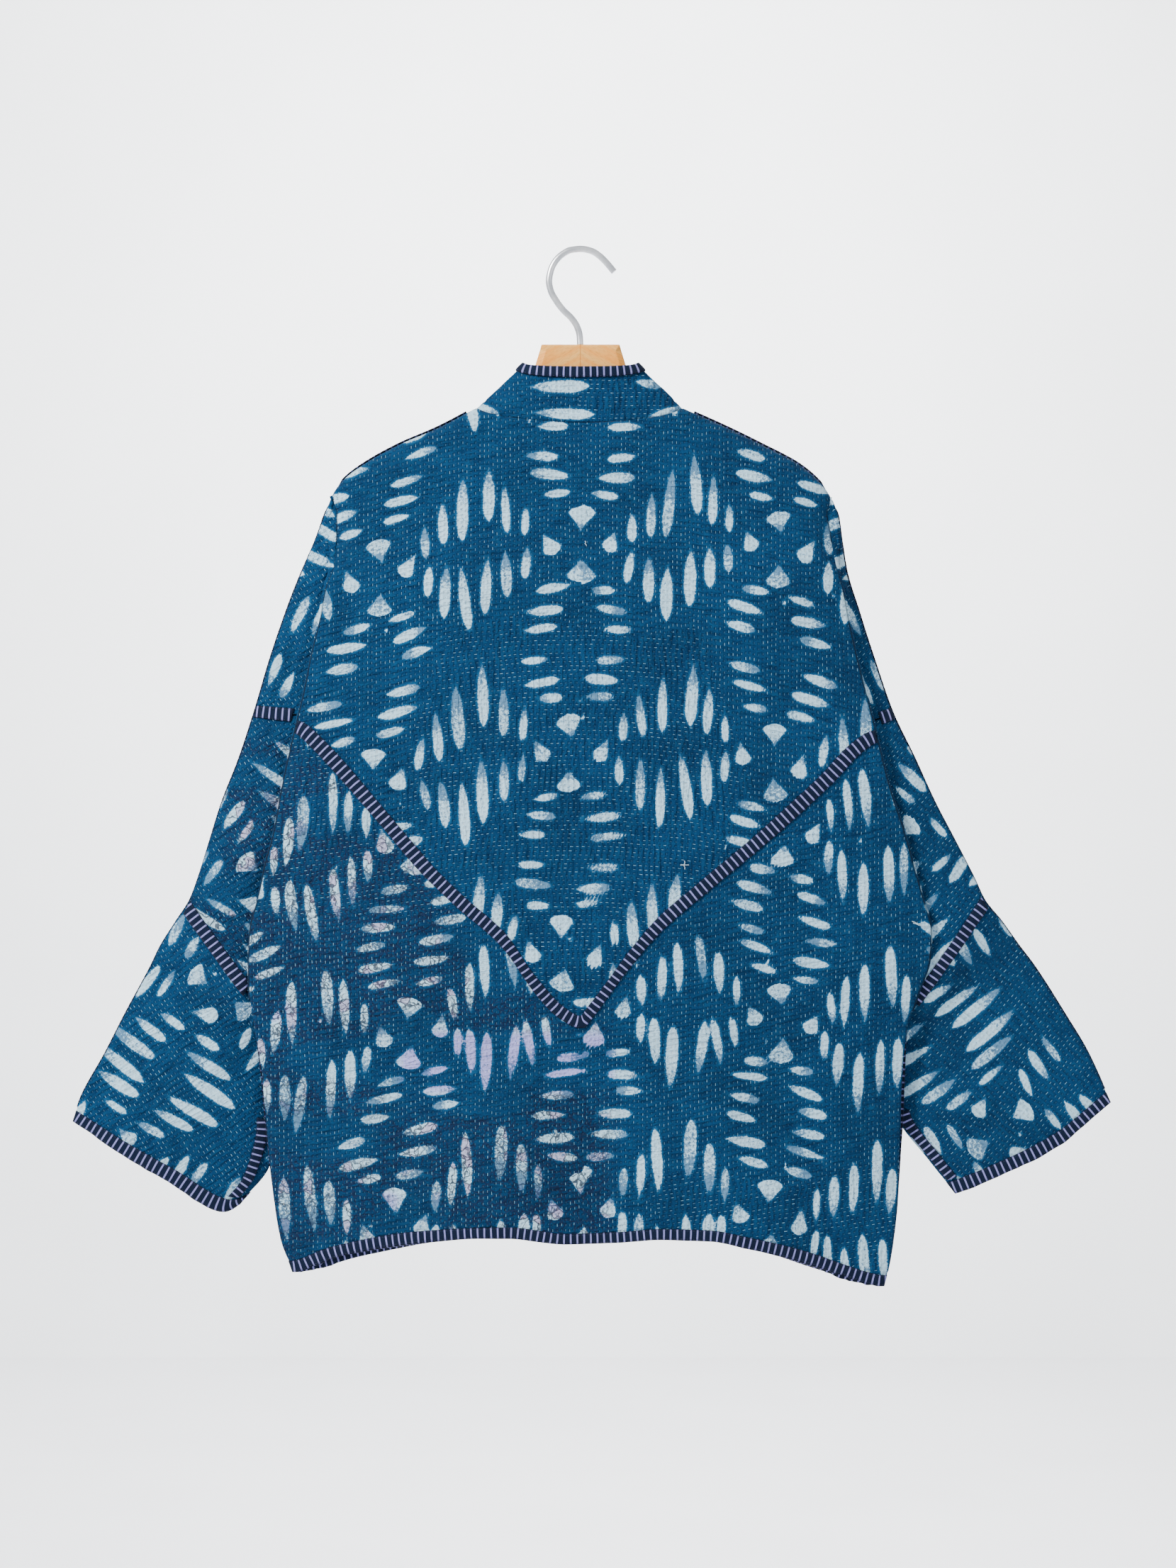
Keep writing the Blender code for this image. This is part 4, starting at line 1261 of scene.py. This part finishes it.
def underarm_tapes(look):
    for side in SIDES:
        end = partial(sleeve_end, side, BACK)
        r = np.linspace(0.62, TAPE_END, UNDERARM_FINE)
        width = np.linalg.norm(end(1.0, r) - end(0.0, r), axis=-1)
        shares = [(UNDERARM_TAPE[side] + away) / width for away in (-TAPE_HALF, 0, TAPE_HALF)]
        rows = [end(s, r) + outward(end, s, r, BACK, 0.01, 0.02) * (LIFT + 0.3) for s in shares]
        ribbon("underarm_tape_" + NAMES[side], [(rows, held(shares[-1], 0.1, 0.1))], BACK, look)


def folded_edge(surface, u, edge, width, layer, down, du, dv):
    """Rows of a tape folded over a raw edge: down the outside, under the wall, and up the inside."""
    inside = np.clip(u, u[0] + du, u[-1] - du)
    normal = outward(surface, inside, edge - width, layer, du, dv)
    low = surface(u, edge)
    lip = down * (GAP + 0.2)
    return [
        surface(u, edge - width) + normal * LIFT,
        surface(u, edge - width / 2) + normal * (LIFT + 0.1),
        low + normal * LIFT + lip,
        low - normal + lip,
        surface(u, edge - 0.8 * width) - normal * 1.2,
    ]


def bindings(look):
    """Over the hems of the back and of both fronts, and over the cuffs."""
    down = np.array([0.0, 0.0, -1.0])
    strips = []
    for side in SIDES:
        q = np.linspace(0, 1, HEM_FINE)
        rows = folded_edge(partial(back, side), q, hem_end(side, q), HEM_TAPE, BACK, down, 0.01, 2.0)
        strips.append((rows, body_hold(q)))
    ribbon("hem_tape_back", strips, BACK, look)
    for side in SIDES:
        c = np.linspace(0, 1, FRONT_HEM_FINE)
        rows = folded_edge(partial(front, side), c, front_hem(side, c), HEM_TAPE, FRONT, down, 0.02, 2.0)
        ribbon("hem_tape_front_" + NAMES[side], [(rows, held(c, 0.05, 0.05))], FRONT, look)
        for layer in LAYERS:
            end = partial(sleeve_end, side, layer)
            out = unit(end(0.5, 1.0) - end(0.5, 0.95))
            share = np.linspace(0, 1, CUFF_FINE)
            rows = folded_edge(end, share, np.ones(CUFF_FINE), CUFF_TAPE, layer, out, 0.02, 0.01)
            strip = rows, held(share, 0.1, 0.1)
            ribbon("cuff_tape_" + half_name(side, layer), [strip], layer, look)


def band_tape(look):
    strips = []
    for side in SIDES:
        station = stations(*BAND_TAPE_FINE)
        seam, free = band_ends(side, station)
        up = unit(free - seam)
        normal = unit(np.cross(up, np.gradient(band(side, station, 0.9), axis=0)))
        normal = normal * np.sign(normal[-1, 1])
        rows = [
            free - up * BAND_TAPE_WIDTH + normal * (LIFT + 0.5),
            free + normal * (LIFT + 0.5) + up * (GAP + 0.6),
            free + normal * 0.3 + up * (GAP + 0.6),
        ]
        strips.append((rows, 0.0))
    meet(strips)
    ribbon("band_tape", strips, FRONT, look)


# Wood hanger, wire hook and loose threads

HEAD_RANGE = 78.8, 118
HEAD_CHAMFER = 5.0
HEAD_DEPTH = 3.4
EDGE_ROUND = 0.6
EDGE_ANGLE = 24
HOOK_FINE = 120
THREAD_FINE = 7
THREAD_RADIUS = 0.32
THREAD_BOW = 0.9

# Threads on the back, each from an x and a drop to another
THREADS = {
    "cross_stitch": [(83.5, 517.8, 90.5, 517.8), (87, 514.3, 87, 521.3)],
    "seam_end_upper": [(3.6, 219, 5, 224)],
    "seam_end_lower": [(3.8, 246, 4.8, 250)],
    "mended_edge": [(279, 565.5, 287.5, 569), (280, 567, 290, 570.5), (285, 567.5, 292, 571.5)],
}


def wood_hanger(look):
    """The hanger's outline with rounded edges, and wide chamfers at the sides of its head."""
    rows = table(HANGER)
    half = np.stack([rows["x"], rows["drop"]], axis=1)
    fine = []
    for first, second in zip(half[:-1], half[1:]):
        fine += [lerp(first, second, s) for s in (0, 0.25, 0.5, 0.75)]
    half = np.array(fine + [half[-1]])
    outline = np.concatenate([half, (half * (-1, 1))[-2::-1]])
    tangent = unit(np.roll(outline, -1, axis=0) - np.roll(outline, 1, axis=0))
    inward = np.stack([-tangent[:, 1], tangent[:, 0]], axis=1)
    head = held(outline[:, 1], 2, 10, *HEAD_RANGE)
    chamfer = lerp(HANGER_ROUND, HEAD_CHAMFER, head)[:, None]
    depth = lerp(HANGER_ROUND, HEAD_DEPTH, head)
    rings = [
        (outline + inward * chamfer, -HANGER_HALF + 0 * depth),
        (outline, depth - HANGER_HALF),
        (outline, HANGER_HALF - depth),
        (outline + inward * chamfer, HANGER_HALF + 0 * depth),
    ]
    verts, faces, n = [], [], len(outline)
    for ring, (flat, y) in enumerate(rings):
        verts += [(x * MM, deep * MM, -drop * MM) for (x, drop), deep in zip(flat, y)]
        if ring:
            base = (ring - 1) * n
            faces += [(base + i, base + (i + 1) % n, base + n + (i + 1) % n, base + n + i) for i in range(n)]
    faces += [tuple(range(n))[::-1], tuple(range(3 * n, 4 * n))]
    mesh = bpy.data.meshes.new("hanger_wood")
    mesh.from_pydata(verts, [], faces)
    model = bmesh.new()
    model.from_mesh(mesh)
    bmesh.ops.recalc_face_normals(model, faces=model.faces)
    model.to_mesh(mesh)
    model.free()
    mesh.materials.append(look)
    piece = keep(mesh, "hanger_wood", "hanger_body")
    soft = piece.modifiers.new("soft_edges", "BEVEL")
    soft.width = EDGE_ROUND * MM
    soft.segments = 3
    soft.limit_method = "ANGLE"
    soft.angle_limit = math.radians(EDGE_ANGLE)


def tube(name, lines, radius, fine, look):
    """A round wire or thread along lines of points."""
    curve = bpy.data.curves.new(name, "CURVE")
    curve.dimensions = "3D"
    curve.bevel_depth = radius * MM
    curve.bevel_resolution = fine
    for line in lines:
        spline = curve.splines.new("POLY")
        spline.points.add(len(line) - 1)
        for point, at in zip(spline.points, line):
            point.co = (*(at * MM), 1)
    curve.materials.append(look)
    return curve


def wire_hook(look):
    x, z = table(HOOK).values()
    steps = np.linalg.norm(np.diff(np.stack([x, z], axis=1), axis=0), axis=1)
    lengths = np.concatenate([[0], np.cumsum(steps)])
    at = np.linspace(0, lengths[-1], HOOK_FINE)
    line = points(smooth(lengths, x, at), 0, smooth(lengths, z, at))
    curve = tube("hook_wire", [line], HOOK_RADIUS, 8, look)
    curve.use_fill_caps = True
    curve.splines[0].use_smooth = True
    keep(curve, "hook_wire", "hanger_hook")


def threads(look):
    """A cross-stitch left in the back, a mended spot at the right edge, and ends at the centre seam."""
    share = np.linspace(0, 1, THREAD_FINE)
    for name, marks in THREADS.items():
        lines = []
        for x0, drop0, x1, drop1 in marks:
            place = on_back(lerp(x0, x1, share) + 0.5 * np.sin(share * 9), lerp(drop0, drop1, share))
            height = THREAD_BOW * np.sin(share * math.pi)
            lines.append(place + np.array(FACING[BACK]) * height[:, None])
        keep(tube(name, lines, THREAD_RADIUS, 2, look), name)


def on_back(x, drop):
    """The outer side of the back's right half at a distance from the centre."""
    place = back(RIGHT, np.clip(np.abs(x) / edge_x(RIGHT, drop), 0, 1), drop)
    return place + np.array(FACING[BACK]) * (WALL + relief(place, BACK) + 0.2)[:, None]


# Materials

def rgb(text):
    parts = [int(text[i:i + 2], 16) / 255 for i in (0, 2, 4)]
    return tuple(((p + 0.055) / 1.055) ** 2.4 if p > 0.04045 else p / 12.92 for p in parts)


class Value:
    """A node's output, with the signs of arithmetic for the nodes that calculate with it."""

    def __init__(self, graph, socket):
        self.graph = graph
        self.socket = socket

    def __add__(self, other):
        return self.graph.calc("ADD", self, other)

    def __radd__(self, other):
        return self.graph.calc("ADD", other, self)

    def __sub__(self, other):
        return self.graph.calc("SUBTRACT", self, other)

    def __rsub__(self, other):
        return self.graph.calc("SUBTRACT", other, self)

    def __mul__(self, other):
        return self.graph.calc("MULTIPLY", self, other)

    def __abs__(self):
        return self.graph.calc("ABSOLUTE", self)


class Graph:
    """A material's nodes, built from the values that run between them."""

    def __init__(self, name):
        self.material = bpy.data.materials.new(name)
        self.material.use_nodes = True
        self.nodes = self.material.node_tree.nodes
        self.links = self.material.node_tree.links
        self.shader = self.nodes["Principled BSDF"]

    def give(self, socket, value):
        if isinstance(value, Value):
            self.links.new(value.socket, socket)
        elif isinstance(value, tuple) and len(value) == 3 and len(socket.default_value) == 4:
            socket.default_value = (*value, 1.0)
        else:
            socket.default_value = value

    def shade(self, **values):
        for name, value in values.items():
            self.give(self.shader.inputs[name.replace("_", " ")], value)

    def new(self, kind):
        return self.nodes.new("ShaderNode" + kind)

    def filled(self, node, inputs, output=0):
        """A node's output, once its inputs have their values, by name or number."""
        for name, value in inputs.items():
            self.give(node.inputs[name], value)
        return Value(self, node.outputs[output])

    def attribute(self, name, kind="Fac"):
        node = self.new("Attribute")
        node.attribute_name = name
        return self.filled(node, {}, kind)

    def object_place(self):
        return self.filled(self.new("TexCoord"), {}, "Object")

    def calc(self, operation, *values, kind="Math"):
        node = self.new(kind)
        node.operation = operation
        return self.filled(node, dict(enumerate(values)))

    def scaled(self, vector, *factors):
        return self.calc("MULTIPLY", vector, factors, kind="VectorMath")

    def moved(self, vector, other):
        return self.calc("ADD", vector, other, kind="VectorMath")

    def step(self, value, low, high, to_low=0.0, to_high=1.0):
        node = self.new("MapRange")
        node.interpolation_type = "SMOOTHSTEP"
        names = "Value", "From Min", "From Max", "To Min", "To Max"
        return self.filled(node, dict(zip(names, (value, low, high, to_low, to_high))))

    def joined(self, *values):
        return self.filled(self.new("CombineXYZ"), dict(enumerate(values)))

    def split(self, vector):
        node = self.new("SeparateXYZ")
        self.give(node.inputs[0], vector)
        return [Value(self, output) for output in node.outputs]

    def cloud(self, vector, scale, detail=2.0, rough=0.5, kind="Fac"):
        inputs = {"Vector": vector, "Scale": scale, "Detail": detail, "Roughness": rough}
        return self.filled(self.new("TexNoise"), inputs, kind)

    def random(self, value):
        node = self.new("TexWhiteNoise")
        node.noise_dimensions = "1D"
        return self.filled(node, {"W": value}, "Value")

    def cells(self, vector, scale, feature="DISTANCE_TO_EDGE", output="Distance"):
        node = self.new("TexVoronoi")
        node.voronoi_dimensions = "2D"
        node.feature = feature
        return self.filled(node, {"Vector": vector, "Scale": scale}, output)

    def blend(self, share, first, second):
        node = self.new("Mix")
        node.data_type = "RGBA"
        return self.filled(node, {0: share, 6: first, 7: second}, 2)

    def raise_by(self, height):
        bump = self.filled(self.new("Bump"), {"Distance": MM, "Strength": 1.0, "Height": height})
        self.give(self.shader.inputs["Normal"], bump)


DEEP = rgb("062a4f")
BLUE = rgb("083760")
LIGHT_BLUE = rgb("134f76")
DARK = rgb("03203f")
OLD_DARK = rgb("0c2340")
WATERY = rgb("2b78aa")
PALE = rgb("ccf0ff")
PALE_SHADE = rgb("b4ddf5")
LILAC = rgb("b9b0f0")
LILAC_SHADE = rgb("a19ae0")
PETAL = rgb("b7a9cc")
SQUIGGLE = rgb("1d1a30")
THREAD = rgb("8cc4e0")
THREAD_PALE = rgb("dfe6e8")
THREAD_NAVY = rgb("3a4462")
NAVY = rgb("101e38")
NAVY_DARK = rgb("091327")
STRIPE = rgb("9393d0")
STRIPE_DARK = rgb("7a7aba")
WOOD = rgb("ffa846")
WOOD_LIGHT = rgb("ffc268")
WOOD_DARK = rgb("c8701c")
STEEL = rgb("e2e5ea")
STEEL_LIGHT = rgb("fdfdfe")
ROW_PITCH = 3.6
STITCH_PITCH = 4.8
FLOWER_PITCH = 10.0
LEAF_PITCH = 5.6
STRIPE_PITCH = 5.6
TICK_PITCH = 2.6
STRIPE_SHARE = 0.25
GRAIN_SLANT = -30


def indigo_cloth():
    """Quilted cotton in cloudy indigo with a bleached resist print, over older floral and lilac cloth, with
    painted shade in the stitch hollows, puff valleys and ripple troughs.
    """
    g = Graph("indigo_cloth")
    place = g.attribute("cloth_place", "Vector")
    wide = g.cloud(place, 1 / 55, 2.0)
    middle = g.cloud(place, 1 / 9, 3.0, 0.6)
    fine = g.cloud(place, 1 / 1.3, 2.0, 0.7)
    warp = g.cloud(g.scaled(place, 2.2, 0.5, 1.0), 1.0, 2.0, 0.6)
    weft = g.cloud(g.scaled(place, 0.5, 2.2, 1.0), 1.0, 2.0, 0.6)
    grain = (warp + weft) * 0.5

    blue = g.blend(g.step(wide, 0.3, 0.7), DEEP, BLUE)
    blue = g.blend(g.step(middle, 0.4, 0.75) * 0.45, blue, LIGHT_BLUE)
    blue = g.blend(g.step(grain, 0.42, 0.62) * 0.55, blue, LIGHT_BLUE)
    blue = g.blend(g.step(grain, 0.5, 0.36) * 0.55, blue, DARK)

    first, second, swapped = g.split(g.attribute("stitch_place", "Vector"))
    swapped = g.calc("GREATER_THAN", swapped + (g.cloud(place, 1 / 6) - 0.5), 0.0)
    u = g.calc("MULTIPLY_ADD", second - first, swapped, first)
    v = g.calc("MULTIPLY_ADD", first - second, swapped, second)
    wander = (g.cloud(place, 1 / 34, 2.0, 0.6) - 0.5) * 7.0
    row_at = v * (1 / ROW_PITCH) + wander * 0.12
    row = g.calc("FLOOR", row_at)
    along = (u + wander) * (1 / STITCH_PITCH) + g.random(row)
    count_at = g.calc("FLOOR", along)
    dash = abs(along - count_at - 0.5)
    off = abs(row_at - row - 0.5)
    odd = g.random(row * 17.31 + count_at)
    length = 0.12 + odd * 0.1
    dashes = g.step(dash, length + 0.04, length) * g.step(off, 0.1, 0.05)
    hollow = g.step(dash, 0.36, 0.14) * g.step(off, 0.42, 0.12)
    wave = g.calc("COSINE", (u + wander) * (2 * math.pi / STITCH_PITCH))
    ripple = g.step(wave, 0.1, 1.0) * g.step(g.cloud(place, 1 / 16, 2.0), 0.3, 0.62, 0.35, 1.0)

    puffs = g.cloud(g.joined(u * (1 / 4.6), v * (1 / 24)), 1.0, 2.0, 0.6)
    painted_valley_shade = g.step(puffs, 0.5, 0.28)
    # Painted shade: the stitch hollows, the valleys between the puffs and the ripple troughs are darkened
    # towards DARK; hollow and ripple also shape the bump.
    blue = g.blend(hollow * 0.3, blue, DARK)
    blue = g.blend(painted_valley_shade * 0.5, blue, DARK)
    blue = g.blend(ripple * 0.16, blue, DARK)

    edge = (g.cloud(place, 1 / 1.6, 3.0, 0.75) - 0.5) * 3.2 + (middle - 0.5) * 2.0
    wash = g.attribute("print_wash")
    depth = g.attribute("print_depth") + edge
    resist = g.step(depth, -0.35, 0.45)
    bled = g.step(depth, -2.4, 0.4) * 0.5
    crackle = g.cloud(place, 1 / 2.6, 3.0, 0.75)
    faded = g.step(crackle - (0.67 - wash * 0.36), -0.03, 0.05)
    mottle = g.step(fine, 0.3, 0.66)
    resist = resist * (1.0 - faded * 0.8)
    pale = g.blend(g.step(grain, 0.38, 0.62), PALE_SHADE, PALE)
    lilac = g.blend(g.step(grain, 0.38, 0.62), LILAC_SHADE, LILAC)
    pale = g.blend(g.attribute("lilac") * 0.9, pale, lilac)
    pale = g.blend((1.0 - mottle) * 0.07, pale, BLUE)
    # Painted shade on the pale print: pulled towards blue in the ripple troughs and in the valleys between
    # the puffs.
    pale = g.blend(ripple * 0.1 + painted_valley_shade * 0.12, pale, BLUE)

    floral = g.attribute("floral")
    bent = g.moved(place, g.scaled(g.cloud(place, 1 / 7, 1.0, 0.5, "Color"), 11.0, 11.0, 0.0))
    twigs = g.cells(bent, 1 / FLOWER_PITCH)
    leaves = g.cells(g.moved(bent, (31.0, 17.0, 0.0)), 1 / LEAF_PITCH)
    leafy = g.step(g.cloud(place, 1 / 14, 1.0), 0.42, 0.5)
    line = g.calc("MAXIMUM", g.step(twigs, 0.075, 0.04), g.step(leaves, 0.11, 0.06) * leafy)
    line = line * floral
    petal = g.cells(bent, 1 / FLOWER_PITCH, "F1", "Color")
    petal = g.step(g.split(petal)[0], 0.76, 0.8) * floral
    pale = g.blend(petal * 0.75, pale, PETAL)

    colour = g.blend(bled * (1.0 - wash * 0.5), blue, WATERY)
    colour = g.blend(wash * (g.step(depth, -0.6, 0.6) * 0.35), colour, WATERY)
    colour = g.blend(floral * 0.16, colour, OLD_DARK)
    colour = g.blend(resist, colour, pale)
    colour = g.blend(line * (0.85 - (1.0 - resist) * 0.3), colour, SQUIGGLE)
    thread = g.blend(resist, THREAD, THREAD_PALE)
    seen = dashes * (0.1 + odd * odd * 0.62)
    colour = g.blend(seen, colour, thread)
    old = g.step(g.cloud(place, 1 / 90, 2.0), 0.3, 0.72, 0.93, 1.07)
    colour = g.filled(g.new("HueSaturation"), {"Color": colour, "Value": old})

    g.shade(Base_Color=colour, Roughness=g.step(grain, 0.3, 0.7, 0.82, 0.95))
    g.shade(Sheen_Weight=0.03, Sheen_Roughness=0.5, Specular_IOR_Level=0.08, IOR=1.45)
    height = ripple * -0.4 + hollow * -0.5 + dashes * 0.32 + puffs * 3.0 + grain * 0.35
    g.raise_by(height + g.cloud(place, 1 / 4.5, 2.0) * 0.5)
    return g.material


def striped_tape():
    """Navy tape with lilac stripes across it, stitched down close to both edges, with painted shade near its
    edges and fold.
    """
    g = Graph("striped_tape_cloth")
    place = g.attribute("tape_place", "Vector")
    edge = g.attribute("tape_edge")
    along = g.split(place)[0]
    grain = g.cloud(g.scaled(place, 1.0, 2.6, 1.0), 1.0, 2.0, 0.6)
    wander = (g.cloud(place, 1 / 14, 1.0) - 0.5) * 0.8
    run = g.calc("FRACT", (along + wander) * (1 / STRIPE_PITCH))
    beside = abs(run - 0.5)
    rough_edge = (grain - 0.5) * 0.05
    stripe = g.step(beside + rough_edge, STRIPE_SHARE / 2 + 0.02, STRIPE_SHARE / 2 - 0.02)
    navy = g.blend(g.step(grain, 0.35, 0.65), NAVY_DARK, NAVY)
    lilac = g.blend(g.step(grain, 0.35, 0.65), STRIPE_DARK, STRIPE)
    colour = g.blend(stripe, navy, lilac)
    # Painted shade: the tape darkens towards NAVY_DARK near its edges and along its fold, where it turns
    # away from the light.
    colour = g.blend(g.step(edge, 0.9, 0.1, 0.0, 0.7), colour, NAVY_DARK)
    line = g.step(abs(edge - 1.1), 0.34, 0.14)
    ticks = g.step(abs(g.calc("FRACT", along * (1 / TICK_PITCH)) - 0.5), 0.24, 0.2)
    sewn = line * ticks
    colour = g.blend(sewn * 0.5, colour, THREAD_NAVY)
    g.shade(Base_Color=colour, Roughness=0.86, Sheen_Weight=0.04, Specular_IOR_Level=0.12)
    g.raise_by(grain * 0.22 + line * -0.22 + sewn * 0.14 + stripe * 0.06)
    return g.material


def beech():
    """Two boards of pale beech joined in the middle, with fine slanting grain and small rays."""
    g = Graph("beech_wood")
    x, y, z = g.split(g.object_place())
    turn = g.new("VectorRotate")
    turn.rotation_type = "Y_AXIS"
    folded = g.joined(abs(x), y, z)
    board = g.filled(turn, {"Vector": folded, "Angle": math.radians(GRAIN_SLANT)})
    bands = g.cloud(g.scaled(board, 22.0, 22.0, 210.0), 1.0, 3.0, 0.55)
    pores = g.cloud(g.scaled(board, 190.0, 190.0, 1900.0), 1.0, 2.0, 0.6)
    rays = g.cloud(g.scaled(board, 330.0, 330.0, 1400.0), 1.0, 1.0, 0.5)
    colour = g.blend(g.step(bands, 0.3, 0.7), WOOD, WOOD_LIGHT)
    colour = g.blend(g.step(pores, 0.5, 0.7) * 0.5, colour, WOOD_DARK)
    colour = g.blend(g.step(rays, 0.66, 0.72) * 0.45, colour, WOOD_DARK)
    joint = g.step(abs(x), 0.0007, 0.0002)
    colour = g.blend(joint * 0.55, colour, WOOD_DARK)
    g.shade(Base_Color=colour, Roughness=g.step(pores, 0.3, 0.7, 0.42, 0.55))
    g.shade(Coat_Weight=0.05, Coat_Roughness=0.3, Specular_IOR_Level=0.2)
    g.raise_by(pores * 0.05 + joint * -0.12)
    return g.material


def satin_steel():
    """Drawn wire with a satin plating: faint lengthwise lines and a little tarnish."""
    g = Graph("satin_steel_wire")
    place = g.object_place()
    clouds = g.cloud(place, 90.0, 3.0)
    lines = g.cloud(g.scaled(place, 900.0, 3000.0, 900.0), 1.0, 2.0)
    colour = g.blend(g.step(clouds, 0.3, 0.75), STEEL, STEEL_LIGHT)
    g.shade(Base_Color=colour, Metallic=0.85, Roughness=g.step(clouds, 0.3, 0.7, 0.3, 0.38))
    g.raise_by(lines * 0.02)
    return g.material


def thread_cotton():
    g = Graph("cotton_thread")
    place = g.object_place()
    twist = g.cloud(g.scaled(place, 2600.0, 2600.0, 2600.0), 1.0, 2.0)
    g.shade(Base_Color=g.blend(g.step(twist, 0.3, 0.7), THREAD, THREAD_PALE), Roughness=0.85)
    g.raise_by(twist * 0.1)
    return g.material


# Each panel's cloth as it shows, laid flat: width and length in metres, and area in square metres

SHEETS = """
node width length area
back_yoke 0.62 0.49 0.195
back_lower 0.71 0.48 0.22
front_left 0.38 0.75 0.158
front_right 0.38 0.75 0.158
sleeve_end_back_left 0.17 0.19 0.029
sleeve_end_back_right 0.17 0.19 0.029
sleeve_end_front_left 0.17 0.19 0.029
sleeve_end_front_right 0.17 0.19 0.029
collar_band 0.048 1.60 0.075
"""

def declare_sheets():
    """Goes through the sheet table's rows, one for each panel, and does nothing with them."""
    for node, (width, length, area) in named_rows(SHEETS).items():
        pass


# Stage, light and camera, in metres

ROOM = 7.0, -1.75, 4.2, 4.5
FLOOR_COLOUR = rgb("e6e7ea")
WALL_COLOUR = rgb("eceef0")
SKY_COLOUR = rgb("e9edf2")
SKY_STRENGTH = 0.84
SENSOR = 36
DISTANCE = 2.5
VIEW_HEIGHT = 1.327
EYE_X = 0.0063
EYE_Z = -0.45

LAMPS = """
lamp x y z aim_y aim_z size power red green blue
key -1.9 -1.7 1.25 0 -0.45 0.7 134 1 0.985 0.96
fill 2.2 -2.0 -0.2 0 -0.45 2.0 11 0.95 0.975 1
rear 0.8 2.4 0.8 0 -0.45 2.0 12 1 1 1
wall_wash 0 1.6 1.2 4.2 0 2.5 420 1 1 1
"""


def flat_surface(name, corners, colour):
    mesh = bpy.data.meshes.new(name)
    mesh.from_pydata(corners, [], [tuple(range(len(corners)))])
    g = Graph(name)
    clouds = g.cloud(g.object_place(), 2.0, 3.0)
    shade = tuple(0.96 * part for part in colour)
    g.shade(Base_Color=g.blend(g.step(clouds, 0.3, 0.7), shade, colour), Roughness=0.95)
    mesh.materials.append(g.material)
    piece = bpy.data.objects.new(name, mesh)
    bpy.context.scene.collection.objects.link(piece)


def area_light(name, place, target, size, power, colour):
    light = bpy.data.lights.new(name, "AREA")
    light.shape = "DISK"
    light.size = size
    light.energy = power
    light.color = colour
    lamp = bpy.data.objects.new(name, light)
    lamp.location = place
    lamp.rotation_euler = (Vector(target) - Vector(place)).to_track_quat("-Z", "Y").to_euler()
    bpy.context.scene.collection.objects.link(lamp)


def light_and_camera():
    wide, low, far, high = ROOM
    floor = [(-wide, -wide, low), (wide, -wide, low), (wide, far, low), (-wide, far, low)]
    wall = [(-wide, far, low), (wide, far, low), (wide, far, high), (-wide, far, high)]
    flat_surface("floor", floor, FLOOR_COLOUR)
    flat_surface("backdrop", wall, WALL_COLOUR)
    world = bpy.data.worlds.new("pale_room")
    world.use_nodes = True
    colour, strength = world.node_tree.nodes["Background"].inputs[:2]
    colour.default_value = (*SKY_COLOUR, 1)
    strength.default_value = SKY_STRENGTH
    bpy.context.scene.world = world
    for name, (x, y, z, aim_y, aim_z, size, power, *tint) in named_rows(LAMPS).items():
        area_light(name, (x, y, z), (0.0, aim_y, aim_z), size, power, tint)
    camera = bpy.data.cameras.new("camera")
    camera.lens = SENSOR * DISTANCE / VIEW_HEIGHT
    camera.sensor_width = SENSOR
    eye = bpy.data.objects.new("camera", camera)
    eye.location = (EYE_X, -DISTANCE, EYE_Z)
    eye.rotation_euler = (math.pi / 2, 0, 0)
    bpy.context.scene.collection.objects.link(eye)
    bpy.context.scene.camera = eye


def main():
    cloth_look = indigo_cloth()
    tape_look = striped_tape()
    for panels in (back_panels, front_panels, sleeve_ends, collar):
        panels(cloth_look)
    for tapes in (yoke_tape, sleeve_tapes, top_tapes, side_tapes, underarm_tapes, bindings, band_tape):
        tapes(tape_look)
    wood_hanger(beech())
    wire_hook(satin_steel())
    threads(thread_cotton())
    declare_sheets()
    light_and_camera()


main()
